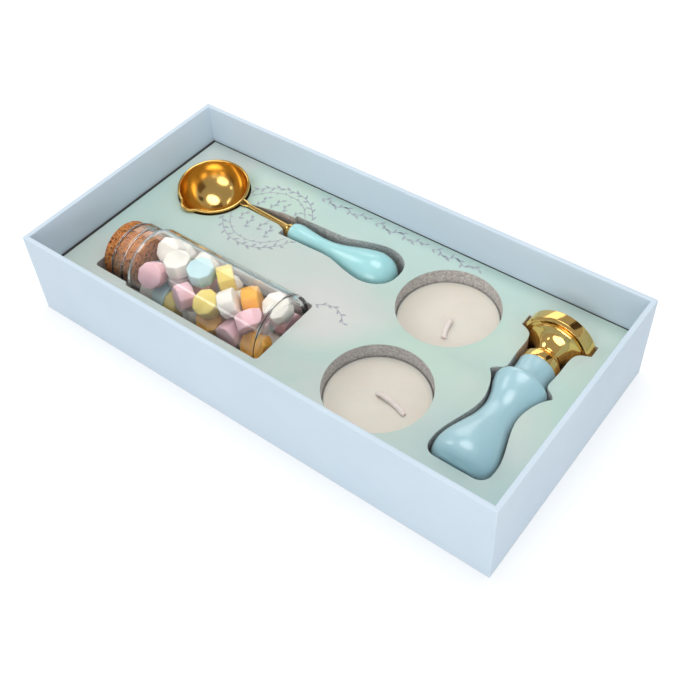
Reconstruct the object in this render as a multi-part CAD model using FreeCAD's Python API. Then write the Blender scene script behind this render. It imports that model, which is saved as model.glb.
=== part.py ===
import FreeCAD, Part
import math
import os
import random

# Wax seal set in a rigid board box: a foam insert with a printed card face holds
# a corked bottle of wax beads, a melting spoon, a seal stamp and two tea lights.
# Frame: origin at the centre of the bottom, +X along the long side towards the
# stamp, +Y from the bottle side to the spoon side, +Z up. Millimetres.

Vector = FreeCAD.Vector
Rotation = FreeCAD.Rotation
Placement = FreeCAD.Placement

# ---------------------------------------------------------------- box
board_thick = 1.5
paper_thick = 0.2
liner_thick = 0.2
tape_thick = 0.1
tape_leg = 14.0
head_room = 4.0                 # from the bottle's top to the rim

# ---------------------------------------------------------------- insert
foam_thick = 17.0
card_thick = 0.4
insert_gap = 0.5                # insert to the front, back and right walls
insert_gap_left = 1.2
rest_gap = 0.1                  # under a round thing lying on the liner
seat_gap = 0.05                 # under a flat thing standing on the liner

# ---------------------------------------------------------------- tea lights
candle_radius = 18.25           # wax
candle_height = 11.4
cup_wall = 0.3
candle_hole_clear = 0.35        # cup to the hole's wall
wick_radius = 0.9
wick_fit = 0.03                 # wick to the wax around it
wick_sink = 0.6                 # the lying strand's bed in the wax
wick_bend = 1.8
dish_radius = 5.5               # melted dish round the wick
dish_depth = 0.6
front_wick_length = 13.6
front_wick_angle = -15.0        # degrees from +X, seen from above
back_wick_length = 10.0
back_wick_angle = -70.0
front_wick_root = Vector(-1.7, 2.2, 0)      # wick's foot from the candle's centre
back_wick_root = Vector(0.8, 0.4, 0)
sustainer_radius = 6.5
sustainer_thick = 0.25
sustainer_tube_height = 3.0
sustainer_tube_wall = 0.2

# ---------------------------------------------------------------- bottle
bottle_radius = 15.0
bottle_length = 73.2            # glass only
glass_wall = 1.2
glass_base = 1.6
heel_radius = 2.4
neck_step = 2.8                 # neck in from the bottle's side
neck_length = 9.0               # from the shoulder to the mouth
shoulder_length = 2.8
lip_stand = 0.55                # lip and ridge out from the neck
lip_width = 1.4
ridge_from_mouth = 5.0
cork_insert = 10.5
cork_out = 5.0
cork_head_step = 0.4            # cork's head in from the neck
cork_fit = 0.05
cork_taper = 0.35               # smaller radius at the inner end
cork_edge = 0.6                 # bevel round the outer end
bottle_bay_clear = 0.65         # bottle side to the foam
shoulder_bay_clear = 1.5        # shoulder to the step in the bay
neck_bay_clear = 1.6            # lip side to the foam
bottle_base_clear = 1.4
cork_end_clear = 1.6
bay_corner = 1.5

# ---------------------------------------------------------------- wax beads
bead_across = 9.4               # across the flats of the octagon
bead_thick = 6.0
bead_gap = 0.06
bead_fill = 0.45               # share of the glass's inside
bead_seed = 2
bead_sink_rounds = 30
bead_jam_rounds = 250           # shakes without growth before one bead is left out

# ---------------------------------------------------------------- melting spoon
bowl_radius = 14.4
bowl_depth = 12.8
bowl_wall = 0.9
rim_bead = 0.55
spout_turn = -97.0              # spout from the handle, in degrees about the bowl's axis
spout_reach = 16.8              # spout tip from the bowl's centre
spout_run = 6.8                 # spout root to spout tip
spout_tip_radius = 1.9
spout_root_radius = 3.0
spout_rise = 0.95               # spout's axis over the rim plane
rim_height = 2.8                # rim centre over the card
bowl_pitch = 5.4                # degrees, rim lower towards the handle
bowl_roll = 5.4                 # degrees, rim lower towards the bottle
spoon_yaw = 1.8                 # degrees, handle end swung to the back
bowl_hole_clear = 0.3
shank_tab = 0.7                 # thickness of the flat tab under the rim
shank_tab_half = 1.6
shank_tab_reach = 2.2           # past the bowl's rim
shank_tab_corner = 1.2
shank_start_radius = 0.55
shank_end_radius = 1.9
shank_drop = 2.2                # handle end of the shank below the rim plane
handle_start = 39.0             # wood's front end from the bowl's centre
handle_rise = 1.7               # handle's tail up from its front end
ferrule_length = 1.8
ferrule_radius = 2.7
ferrule_bevel = 0.4
tang_length = 16.0
tang_radius = 1.2
spoon_fit = 0.04                # ferrule and tang bore to the shank
handle_bay_clear = 1.9          # handle to the foam
slot_clear = 0.9                # shank to the foam at the bowl, on the far side
slot_near_clear = 0.35          # shank and ferrule to the foam on the near side
bay_waist = 6.0                 # least half width of the foam beside the handle
ferrule_clear = 1.9             # ferrule to the foam
# distance from the front end, radius
spoon_handle_stations = ((0.0, 2.9), (0.9, 3.7), (3.5, 4.1), (8.0, 3.75), (13.0, 3.35), (18.0, 3.55),
                         (23.0, 4.5), (28.5, 6.1), (34.0, 7.6), (39.0, 8.3), (43.5, 7.2), (46.6, 4.2),
                         (47.6, 0.0))

# ---------------------------------------------------------------- stamp
head_radius = 13.0
head_rim = 4.4
head_slot_clear = 0.25
head_length = 17.0              # face to collar
head_edge = 0.25
head_ring_outer = 0.7           # back of the rim, in from the head's radius
head_ring_inner = 1.1
head_ring_back = 0.6            # stands back from the rim
groove_outer = 1.35             # groove behind the rim, in from the head's radius
groove_inner = 2.5
groove_depth = 0.3              # from the rim's back
cone_radius = 10.0              # cone's wide end
cone_back = 1.1                 # cone's wide end, back from the rim
collar_radius = 7.2
collar_length = 3.2             # from the wood to the collar's front
collar_foot = 5.6
waist_radius = 4.9              # between the collar and the cone
waist_ring_radius = 5.7
waist_ring_at = 5.2             # from the wood
waist_ring_half = 0.7
waist_end = 6.7                 # start of the cone, from the wood
stud_radius = 3.0
stud_fit = 0.05
stud_in_wood = 15.0
stud_in_head = 9.0
stud_end_clear = 0.4
bulb_dome = 0.3                 # bulb end's bulge
engrave_depth = 0.5
engrave_ring_outer = 1.9        # in from the head's radius
engrave_ring_inner = 2.5
engrave_centre_radius = 1.2
petal_count = 8
petal_length = 6.0
petal_half = 1.4
petal_from_centre = 2.0
stamp_end_clear = 0.7           # bulb end to the foam
stamp_bay_clear = 0.45          # handle to the foam
stamp_neck_clear = 0.9
stamp_cusp_clear = 1.8          # shoulder to the cusp in the foam
stamp_bay_corner = 4.4
flare_length = 5.0              # where the cavity opens from the neck to the head's slot
flare_shape = ((1.0, 0.97), (0.56, 0.84), (0.33, 0.64), (0.18, 0.36), (0.07, 0.1), (0.0, 0.0))
# distance from the bulb end, radius of the wood
stamp_handle_stations = ((0.0, 7.0), (0.9, 8.8), (2.6, 10.3), (5.9, 11.0), (10.0, 10.5), (16.0, 8.7),
                         (21.5, 7.0), (27.4, 6.3), (32.3, 7.2), (36.7, 9.0), (39.6, 9.9))
stamp_neck_stations = ((39.6, 9.9), (41.1, 9.6), (42.1, 8.4), (43.0, 7.2), (46.0, 6.75), (50.9, 7.1))

# ---------------------------------------------------------------- layout of the insert
bottle_left_margin = 13.3
spoon_left_margin = 7.4
bottle_candle_gap = 21.7
spoon_candle_gap = 4.7
candle_stamp_gap = 5.3
stamp_right_margin = 8.7
bottle_front_margin = 11.9
bottle_spoon_gap = 12.6
spoon_back_margin = 10.0
candle_pair_gap = 6.1
candle_margin = 4.0
candle_shift_y = 0.25
stamp_margin = 6.0
stamp_shift_y = 0.5

# ================================================================ derived sizes
wall = board_thick + 2 * paper_thick
board_floor_z = paper_thick
liner_z = board_floor_z + board_thick
floor_z = liner_z + liner_thick
foam_top = floor_z + foam_thick
card_top = foam_top + card_thick
box_height = floor_z + rest_gap + 2 * bottle_radius + head_room
turn_in_depth = box_height - card_top         # the paper is turned in down to the card

candle_hole_radius = candle_radius + cup_wall + candle_hole_clear
neck_radius = bottle_radius - neck_step
lip_radius = neck_radius + lip_stand
cork_head_radius = neck_radius - cork_head_step
spoon_handle_length = spoon_handle_stations[-1][0]
stamp_handle_length = stamp_neck_stations[-1][0]
bottle_bay_half = bottle_radius + bottle_bay_clear
bowl_hole_radius = bowl_radius + bowl_hole_clear
spoon_bay_length = bowl_hole_radius + handle_start + spoon_handle_length + handle_bay_clear
bottle_bay_length = bottle_base_clear + bottle_length + cork_out + cork_end_clear
head_slot_half = head_radius + head_slot_clear
slot_width = head_rim + 2 * head_slot_clear
stamp_length = stamp_handle_length + head_length
slot_start = stamp_length - head_rim - head_slot_clear
stamp_bay_length = stamp_end_clear + slot_start + slot_width

spoon_column = (bottle_front_margin + 2 * bottle_bay_half + bottle_spoon_gap
                + 2 * bowl_hole_radius + spoon_back_margin)
candle_column = 2 * candle_margin + 4 * candle_hole_radius + candle_pair_gap
stamp_column = 2 * stamp_margin + stamp_bay_length
insert_width = max(spoon_column, candle_column, stamp_column)

# X of each thing, from the insert's left edge
bottle_row = bottle_left_margin + bottle_bay_length + bottle_candle_gap
spoon_row = spoon_left_margin + spoon_bay_length + spoon_candle_gap
stamp_from_left = max(bottle_row, spoon_row) + 2 * candle_hole_radius + candle_stamp_gap + head_slot_half
insert_length = stamp_from_left + head_slot_half + stamp_right_margin

cavity_length = insert_length + insert_gap_left + insert_gap
cavity_width = insert_width + 2 * insert_gap
box_length = cavity_length + 2 * wall
box_width = cavity_width + 2 * wall
insert_left = -cavity_length / 2 + insert_gap_left
insert_front = -insert_width / 2
insert_back = insert_width / 2

bottle_bay_left = insert_left + bottle_left_margin
bottle_bay_right = bottle_bay_left + bottle_bay_length
bottle_base_x = bottle_bay_right - bottle_base_clear
bottle_y = insert_front + bottle_front_margin + bottle_bay_half
bottle_z = floor_z + rest_gap + bottle_radius
mouth_x = bottle_base_x - bottle_length
shoulder_x = mouth_x + neck_length + shoulder_length

bowl_x = insert_left + spoon_left_margin + bowl_hole_radius
bowl_y = insert_back - spoon_back_margin - bowl_hole_radius
bowl_z = card_top + rim_height

candle_front = Vector(insert_left + bottle_row + candle_hole_radius,
                      candle_shift_y - candle_pair_gap / 2 - candle_hole_radius, 0)
candle_back = Vector(insert_left + spoon_row + candle_hole_radius,
                     candle_shift_y + candle_pair_gap / 2 + candle_hole_radius, 0)

stamp_x = insert_left + stamp_from_left
stamp_z = floor_z + rest_gap + head_radius
stamp_start_y = stamp_shift_y - stamp_bay_length / 2 + stamp_end_clear


# ================================================================ helpers
def block(x0, x1, y0, y1, z0, z1):
    return Part.makeBox(x1 - x0, y1 - y0, z1 - z0, Vector(x0, y0, z0))


def edge(a, b):
    return Part.LineSegment(a, b).toShape()


def outline_wire(points):
    closed = list(points) + [points[0]]
    return Part.Wire([edge(a, b) for a, b in zip(closed, closed[1:])])


def curve(points):
    spline = Part.BSplineCurve()
    spline.interpolate(points)
    return spline.toShape()


def turned(edges, start, axis):
    return Part.Face(Part.Wire(edges)).revolve(start, axis, 360)


def turned_profile(points, start, axis):
    """A solid of revolution from straight runs between points."""
    return turned(outline_wire(points).Edges, start, axis)


def plate(wire, z0, z1):
    solid = Part.Face(wire).extrude(Vector(0, 0, z1 - z0))
    solid.translate(Vector(0, 0, z0))
    return solid


def save(name, shape):
    shape.exportStep("parts/" + name + ".step")
    solids = len(shape.Solids)
    print("%-26s solids %2d  volume %10.2f  valid %s" % (name, solids, shape.Volume, shape.isValid()))


# ================================================================ box
def box_floor():
    half_x = box_length / 2 - paper_thick
    half_y = box_width / 2 - paper_thick
    return block(-half_x, half_x, -half_y, half_y, board_floor_z, liner_z)


def box_wall(side):
    """side is front, back, left or right; the long walls run past the short ones."""
    out_x = box_length / 2 - paper_thick
    out_y = box_width / 2 - paper_thick
    in_x = out_x - board_thick
    in_y = out_y - board_thick
    top = box_height - paper_thick
    spans = {"front": (-out_x, out_x, -out_y, -in_y), "back": (-out_x, out_x, in_y, out_y),
             "left": (-out_x, -in_x, -in_y, in_y), "right": (in_x, out_x, -in_y, in_y)}
    return block(*spans[side], liner_z, top).cut(corner_tapes())


def corner_tapes():
    """Stay tape round each outer corner, pressed flush into the board."""
    out_x = box_length / 2 - paper_thick
    out_y = box_width / 2 - paper_thick
    top = box_height - paper_thick - board_thick
    tapes = []
    for sx in (-1, 1):
        for sy in (-1, 1):
            along_x = sorted((sx * out_x, sx * (out_x - tape_leg)))
            thin_y = sorted((sy * out_y, sy * (out_y - tape_thick)))
            thin_x = sorted((sx * out_x, sx * (out_x - tape_thick)))
            along_y = sorted((sy * out_y, sy * (out_y - tape_leg)))
            leg_x = block(*along_x, *thin_y, liner_z + board_thick, top)
            leg_y = block(*thin_x, *along_y, liner_z + board_thick, top)
            tapes.append(leg_x.fuse(leg_y).removeSplitter())
    return Part.makeCompound(tapes)


def wrap_paper():
    """One sheet up the outside, over the rim and down the inside."""
    half_x = box_length / 2
    half_y = box_width / 2
    outer = block(-half_x, half_x, -half_y, half_y, board_floor_z, box_height)
    boards = block(-half_x + paper_thick, half_x - paper_thick, -half_y + paper_thick, half_y - paper_thick,
                   board_floor_z, box_height - paper_thick)
    in_x = half_x - paper_thick - board_thick
    in_y = half_y - paper_thick - board_thick
    inner = block(-in_x, in_x, -in_y, in_y, box_height - turn_in_depth, box_height)
    space = block(-cavity_length / 2, cavity_length / 2, -cavity_width / 2, cavity_width / 2,
                  board_floor_z, box_height)
    return outer.cut(boards).fuse(inner).cut(space).removeSplitter()


def base_paper():
    return block(-box_length / 2, box_length / 2, -box_width / 2, box_width / 2, 0, paper_thick)


def floor_liner():
    half_x = cavity_length / 2 - paper_thick
    half_y = cavity_width / 2 - paper_thick
    return block(-half_x, half_x, -half_y, half_y, liner_z, floor_z)


# ================================================================ cavities of the insert
def rounded_box(x0, x1, y0, y1, z0, z1, radius):
    body = block(x0, x1, y0, y1, z0, z1)
    upright = [e for e in body.Edges if abs(e.tangentAt(e.FirstParameter).z) > 0.99]
    return body.makeFillet(radius, upright)


def bottle_bay(z0, z1):
    body = rounded_box(shoulder_x - shoulder_bay_clear, bottle_bay_right, bottle_y - bottle_bay_half,
                       bottle_y + bottle_bay_half, z0, z1, bay_corner)
    neck_half = lip_radius + neck_bay_clear
    neck = rounded_box(bottle_bay_left, shoulder_x + bay_corner, bottle_y - neck_half, bottle_y + neck_half,
                       z0, z1, bay_corner)
    return body.fuse(neck)


def candle_bay(centre, z0, z1):
    return Part.makeCylinder(candle_hole_radius, z1 - z0, centre + Vector(0, 0, z0))


def set_off(stations, clear):
    """Stations of a half outline moved outwards by the clearance, square to the outline."""
    moved = []
    for i, (along, radius) in enumerate(stations):
        before = stations[max(i - 1, 0)]
        after = stations[min(i + 1, len(stations) - 1)]
        run, rise = after[0] - before[0], after[1] - before[1]
        length = math.hypot(run, rise)
        moved.append((along - clear * rise / length, radius + clear * run / length))
    return moved


def spoon_slot():
    """Outline of the shank's slot, from the bowl hole to the handle bay: wide on its far side and close
    along the shank and the ferrule on its near side."""
    slot_start, rod_start = 0.9 * bowl_radius, bowl_radius + shank_tab_reach
    narrow, wide = shank_start_radius + slot_clear, ferrule_radius + ferrule_clear
    far = [Vector(slot_start, narrow, 0), Vector(rod_start, narrow, 0),
           Vector(handle_start - 2.5 * ferrule_radius, wide, 0), Vector(handle_start, wide, 0)]
    flare_end = handle_start - ferrule_length - slot_near_clear
    flare_start = flare_end - ferrule_radius
    taper = (shank_end_radius - shank_start_radius) / (handle_start - rod_start)
    near_start = shank_start_radius + slot_near_clear
    near_flare = near_start + taper * (flare_start - rod_start)
    near_end = ferrule_radius + slot_near_clear
    near = [Vector(slot_start, -near_start, 0), Vector(rod_start, -near_start, 0),
            Vector(flare_start, -near_flare, 0), Vector(flare_end, -near_end, 0),
            Vector(handle_start, -near_end, 0)]
    return near + far[::-1]


def spoon_bay(z0, z1):
    """Bowl hole, shank slot and handle bay along the spoon's own line."""
    hole = Part.makeCylinder(bowl_hole_radius, z1 - z0, Vector(0, 0, z0))
    slot = plate(outline_wire(spoon_slot()), z0, z1)
    half_bay = [(x, max(half, bay_waist))
                for x, half in set_off(spoon_handle_stations[1:-1], handle_bay_clear)]
    bay_sides = [Vector(handle_start + x, -half, 0) for x, half in half_bay]
    bay_sides.append(Vector(handle_start + spoon_handle_length + handle_bay_clear, 0, 0))
    bay_sides += [Vector(handle_start + x, half, 0) for x, half in reversed(half_bay)]
    front_x = handle_start - handle_bay_clear
    front = [Vector(front_x, bay_sides[-1].y, 0), Vector(front_x, bay_sides[0].y, 0)]
    bay = plate(Part.Wire([curve(bay_sides), edge(bay_sides[-1], front[0]), edge(front[0], front[1]),
                           edge(front[1], bay_sides[0])]), z0, z1)
    cavity = hole.fuse([slot, bay])
    cavity.rotate(Vector(0, 0, 0), Vector(0, 0, 1), spoon_yaw)
    cavity.translate(Vector(bowl_x, bowl_y, 0))
    return cavity


def stamp_bay_stations():
    """Half widths of the stamp's cavity: along the bulb up to the cusp, then on to the head's slot."""
    widest_at, widest = max(stamp_handle_stations, key=lambda station: station[1])
    cusp = (stamp_neck_stations[0][0], stamp_neck_stations[0][1] + stamp_cusp_clear)
    lower = [(stamp_bay_corner - stamp_end_clear, widest + stamp_bay_clear)]
    lower += [(along, radius + stamp_bay_clear) for along, radius in stamp_handle_stations[:-1]
              if along > widest_at]
    lower.append(cusp)
    upper = [cusp]
    upper += [(along, radius + stamp_neck_clear) for along, radius in stamp_neck_stations[2:]
              if along > cusp[0] + stamp_cusp_clear]
    flare = head_slot_half - stamp_neck_stations[-1][1] - stamp_neck_clear
    upper += [(slot_start - back * flare_length, head_slot_half - inward * flare)
              for back, inward in flare_shape]
    return lower, upper


def stamp_bay(z0, z1):
    """Follows the turned handle and opens to a slot for the head."""
    def point(side, station):
        return Vector(stamp_x + side * station[1], stamp_start_y + station[0], 0)

    low_y = stamp_start_y - stamp_end_clear
    high_y = low_y + stamp_bay_length
    lower, upper = stamp_bay_stations()
    right_low = [point(1, s) for s in lower]
    right_up = [point(1, s) for s in upper]
    left_low = [point(-1, s) for s in lower]
    left_up = [point(-1, s) for s in upper]
    corner_x = right_low[0].x - stamp_bay_corner
    mirror_x = 2 * stamp_x - corner_x
    bend = stamp_bay_corner * (1 - math.sqrt(0.5))
    right_turn = Part.Arc(Vector(corner_x, low_y, 0), Vector(right_low[0].x - bend, low_y + bend, 0),
                          right_low[0]).toShape()
    left_turn = Part.Arc(left_low[0], Vector(left_low[0].x + bend, low_y + bend, 0),
                         Vector(mirror_x, low_y, 0)).toShape()
    slot_right = Vector(right_up[-1].x, high_y, 0)
    slot_left = Vector(left_up[-1].x, high_y, 0)
    wire = Part.Wire([edge(Vector(mirror_x, low_y, 0), Vector(corner_x, low_y, 0)), right_turn,
                      curve(right_low), curve(right_up), edge(right_up[-1], slot_right),
                      edge(slot_right, slot_left), edge(slot_left, left_up[-1]), curve(left_up[::-1]),
                      curve(left_low[::-1]), left_turn])
    return plate(wire, z0, z1)


def insert_layer(z0, z1):
    """A sheet of the insert with every cavity cut through it."""
    sheet = block(insert_left, insert_left + insert_length, insert_front, insert_back, z0, z1)
    bays = [bottle_bay(z0, z1), candle_bay(candle_front, z0, z1), candle_bay(candle_back, z0, z1),
            spoon_bay(z0, z1), stamp_bay(z0, z1)]
    return sheet.cut(bays)


# ================================================================ tea lights
def candle_cup(centre):
    base_z = floor_z + seat_gap
    outer = Part.makeCylinder(candle_radius + cup_wall, candle_height, centre + Vector(0, 0, base_z))
    inner = Part.makeCylinder(candle_radius, candle_height, centre + Vector(0, 0, base_z + cup_wall))
    return outer.cut(inner)


def candle_sustainer(centre):
    base_z = floor_z + seat_gap + cup_wall
    bore = wick_radius + wick_fit
    disc = Part.makeCylinder(sustainer_radius, sustainer_thick, centre + Vector(0, 0, base_z))
    tube = Part.makeCylinder(bore + sustainer_tube_wall, sustainer_tube_height,
                             centre + Vector(0, 0, base_z))
    hole = Part.makeCylinder(bore, sustainer_tube_height, centre + Vector(0, 0, base_z))
    return disc.fuse(tube).cut(hole)


def candle_wick(centre, length, angle, radius):
    """Rises from the sustainer and lies over in its bed in the wax."""
    start = Vector(0, 0, floor_z + seat_gap + cup_wall)
    lie_z = floor_z + seat_gap + candle_height + wick_radius - wick_sink
    rise = Vector(0, 0, lie_z - wick_bend)
    turn = wick_bend * (1 - math.sqrt(0.5))
    middle = Vector(turn, 0, lie_z - turn)
    over = Vector(wick_bend, 0, lie_z)
    tip = Vector(length, 0, lie_z)
    path = Part.Wire([edge(start, rise), Part.Arc(rise, middle, over).toShape(), edge(over, tip)])
    section = Part.Wire([Part.Circle(start, Vector(0, 0, 1), radius).toShape()])
    wick = path.makePipeShell([section], True, False)
    wick.rotate(Vector(0, 0, 0), Vector(0, 0, 1), angle)
    wick.translate(centre)
    return wick


def candle_wax(centre, root, length, angle):
    base_z = floor_z + seat_gap + cup_wall
    top_z = floor_z + seat_gap + candle_height
    body = Part.makeCylinder(candle_radius, top_z - base_z, centre + Vector(0, 0, base_z))
    ball = (dish_radius ** 2 + dish_depth ** 2) / (2 * dish_depth)
    dish = Part.makeSphere(ball, root + Vector(0, 0, top_z - dish_depth + ball))
    bed = candle_wick(root, length + wick_fit, angle, wick_radius + wick_fit)
    return body.cut([dish, bed, candle_sustainer(root)])


# ================================================================ bottle
def bottle_point(along, radius):
    """along runs from the base to the mouth."""
    return Vector(bottle_base_x - along, bottle_y, bottle_z + radius)


def bottle_turned(edges):
    return turned(edges, Vector(0, bottle_y, bottle_z), Vector(1, 0, 0))


def glass_outline(inset, base_at, neck, mouth_at, heel):
    """Half section of the bottle from the axis at the base to the mouth, drawn inset from the outside."""
    side = bottle_radius - inset
    shoulder_at = bottle_length - neck_length - shoulder_length
    shoulder_mid = shoulder_at + shoulder_length * 0.45
    turn = heel * (1 - math.sqrt(0.5))
    return [edge(bottle_point(base_at, 0), bottle_point(base_at, side - heel)),
            Part.Arc(bottle_point(base_at, side - heel), bottle_point(base_at + turn, side - turn),
                     bottle_point(base_at + heel, side)).toShape(),
            edge(bottle_point(base_at + heel, side), bottle_point(shoulder_at, side)),
            curve([bottle_point(shoulder_at, side), bottle_point(shoulder_mid, side - 0.25 * (side - neck)),
                   bottle_point(shoulder_at + shoulder_length, neck)]),
            edge(bottle_point(shoulder_at + shoulder_length, neck), bottle_point(mouth_at, neck)),
            edge(bottle_point(mouth_at, neck), bottle_point(mouth_at, 0)),
            edge(bottle_point(mouth_at, 0), bottle_point(base_at, 0))]


def bottle_ring(along, width, radius):
    """A rounded band that stands out of the neck."""
    inner = neck_radius - glass_wall / 2
    low, high = along - width / 2, along + width / 2
    return bottle_turned([edge(bottle_point(low, inner), bottle_point(low, neck_radius)),
                          Part.Arc(bottle_point(low, neck_radius), bottle_point(along, radius),
                                   bottle_point(high, neck_radius)).toShape(),
                          edge(bottle_point(high, neck_radius), bottle_point(high, inner)),
                          edge(bottle_point(high, inner), bottle_point(low, inner))])


def bottle_glass():
    outer = bottle_turned(glass_outline(0, 0, neck_radius, bottle_length, heel_radius))
    inner = bottle_turned(glass_outline(glass_wall, glass_base, neck_radius - glass_wall, bottle_length + 1,
                                        heel_radius - glass_wall / 2))
    rings = [bottle_ring(bottle_length - lip_width / 2, lip_width, lip_radius),
             bottle_ring(bottle_length - ridge_from_mouth, lip_width, lip_radius)]
    return outer.fuse(rings).cut(inner).removeSplitter()


def bottle_cork():
    bore = neck_radius - glass_wall
    inner_end = bottle_length - cork_insert
    fit = bore - cork_fit
    head_start = bottle_length + seat_gap
    outer_end = bottle_length + cork_out
    points = [bottle_point(inner_end, 0), bottle_point(inner_end, fit - cork_taper),
              bottle_point(bottle_length, fit), bottle_point(head_start, fit),
              bottle_point(head_start, cork_head_radius),
              bottle_point(outer_end - cork_edge, cork_head_radius),
              bottle_point(outer_end, cork_head_radius - cork_edge), bottle_point(outer_end, 0)]
    return turned_profile(points, Vector(0, bottle_y, bottle_z), Vector(1, 0, 0))


# ================================================================ wax beads
# A bead is its centre "at" and a "frame" of vectors: its axis, its four flat normals, its four corner arms.
bead_corner = bead_across / 2 / math.cos(math.pi / 8)
bead_widest = 2 * math.hypot(bead_corner, bead_thick / 2)
bead_room = bottle_radius - glass_wall - bead_gap
bead_low_x = max(mouth_x + cork_insert, shoulder_x) + bead_gap
bead_heel = heel_radius - glass_wall / 2
bead_high_x = bottle_base_x - glass_base - bead_gap
bead_space = math.pi * bead_room ** 2 * (bead_high_x - bead_low_x)
bead_volume = 2 * (math.sqrt(2) - 1) * bead_across ** 2 * bead_thick
bead_count = int(bead_fill * bead_space / bead_volume)


def dot(a, b):
    return a[0] * b[0] + a[1] * b[1] + a[2] * b[2]


def cross(a, b):
    return (a[1] * b[2] - a[2] * b[1], a[2] * b[0] - a[0] * b[2], a[0] * b[1] - a[1] * b[0])


def scaled(a, factor):
    return (a[0] * factor, a[1] * factor, a[2] * factor)


def random_direction(rng):
    arrow = (rng.gauss(0, 1), rng.gauss(0, 1), rng.gauss(0, 1))
    return scaled(arrow, 1 / math.sqrt(dot(arrow, arrow)))


def spun(frame, axis, angle):
    """Every vector of a frame turned about an axis."""
    c, s = math.cos(angle), math.sin(angle)
    turned_frame = []
    for v in frame:
        side = cross(axis, v)
        lift = dot(axis, v) * (1 - c)
        turned_frame.append(tuple(v[i] * c + side[i] * s + axis[i] * lift for i in range(3)))
    return turned_frame


def upright_frame():
    flats = [(math.cos(math.pi / 4 * k), math.sin(math.pi / 4 * k), 0.0) for k in range(4)]
    turns = [math.pi / 8 * (2 * k + 1) for k in range(4)]
    arms = [(math.cos(turn), math.sin(turn), 0.0) for turn in turns]
    return [(0.0, 0.0, 1.0)] + flats + [scaled(arm, bead_corner) for arm in arms]


def reach_along(frame, axis):
    """How far a bead of full size goes from its centre along an axis."""
    return max(abs(dot(arm, axis)) for arm in frame[5:]) + bead_thick / 2 * abs(dot(frame[0], axis))


def beads_apart(one, two, size):
    """True when some plane parts the two beads, at a share of their full size, by bead_gap."""
    step = (two["at"][0] - one["at"][0], two["at"][1] - one["at"][1], two["at"][2] - one["at"][2])
    distance = math.sqrt(dot(step, step))
    if distance > bead_widest * size + bead_gap:
        return True
    if distance < bead_thick * size + bead_gap:
        return False

    def parted(axis):
        both = reach_along(one["frame"], axis) + reach_along(two["frame"], axis)
        return abs(dot(step, axis)) - size * both > bead_gap

    if parted(scaled(step, 1 / distance)):
        return True
    if any(parted(normal) for normal in one["frame"][:5] + two["frame"][:5]):
        return True
    for i, a in enumerate(one["frame"][:5]):
        for j, b in enumerate(two["frame"][:5]):
            across = cross(a, b)
            length = math.sqrt(dot(across, across))
            if i * j == 0 and length > 0.2 and parted(scaled(across, 1 / length)):
                return True
    return False


def bead_inside(bead, size):
    """True when every corner is inside the glass."""
    x, y, z = bead["at"]
    half = scaled(bead["frame"][0], bead_thick / 2)
    for arm in bead["frame"][5:]:
        for turn in (-size, size):
            for end in (-size, size):
                corner_x = x + turn * arm[0] + end * half[0]
                if not bead_low_x < corner_x < bead_high_x:
                    return False
                corner_y = y + turn * arm[1] + end * half[1]
                corner_z = z + turn * arm[2] + end * half[2]
                past_heel = max(0, bead_heel - (bead_high_x - corner_x))
                room = bead_room - bead_heel + math.sqrt(bead_heel ** 2 - past_heel ** 2)
                if math.hypot(corner_y, corner_z) > room:
                    return False
    return True


def bead_fits(bead, others, size):
    return bead_inside(bead, size) and all(beads_apart(bead, other, size) for other in others)


def all_fit(beads, size):
    return all(bead_fits(bead, beads[:i], size) for i, bead in enumerate(beads))


def scattered_beads(rng, size):
    beads = []
    while len(beads) < bead_count:
        bead = {"at": (rng.uniform(bead_low_x, bead_high_x), rng.uniform(-bead_room, bead_room),
                       rng.uniform(-bead_room, bead_room)),
                "frame": spun(upright_frame(), random_direction(rng), rng.uniform(0, math.pi))}
        if bead_fits(bead, beads, size):
            beads.append(bead)
    return beads


def shaken(beads, rng, step, size, sink):
    """One small random move for each bead, kept where it fits; returns the share kept."""
    kept = 0
    for i, bead in enumerate(beads):
        moved = {"at": (bead["at"][0] + rng.gauss(0, step), bead["at"][1] + rng.gauss(0, step),
                        bead["at"][2] + rng.gauss(0, step) - sink * step),
                 "frame": spun(bead["frame"], random_direction(rng), rng.gauss(0, 0.25 * step))}
        if sink > 1 and moved["at"][2] > bead["at"][2]:
            continue
        if bead_fits(moved, beads[:i] + beads[i + 1:], size):
            beads[i] = moved
            kept += 1
    return kept / len(beads)


def packed_beads():
    """Small beads shaken in the lying bottle while they grow to full size, then left to sink."""
    rng = random.Random(bead_seed)
    size = 0.45
    step = 1.0
    still = 0
    beads = scattered_beads(rng, size)
    while size < 1:
        share = shaken(beads, rng, step, size, 0.1)
        step = min(1.5, max(0.02, step * (1.1 if share > 0.35 else 0.9)))
        still += 1
        for growth in ((0.01, 0.002) if size < 0.7 else (0.002, 0.0005, 0.0001)):
            larger = min(1, size + growth)
            if all_fit(beads, larger):
                size = larger
                still = 0
                break
        if still > bead_jam_rounds:
            beads.pop()
            still = 0
    for _ in range(bead_sink_rounds):
        shaken(beads, rng, 0.15, 1, 1.5)
    return beads


def bead_solid(bead):
    centre = Vector(bead["at"][0], bottle_y + bead["at"][1], bottle_z + bead["at"][2])
    axis = Vector(*bead["frame"][0])
    arms = [Vector(*arm) for arm in bead["frame"][5:]]
    ring = arms + [arm * -1 for arm in arms] + arms[:1]
    corners = [centre + arm - axis * (bead_thick / 2) for arm in ring]
    return Part.Face(Part.makePolygon(corners)).extrude(axis * bead_thick)


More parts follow.
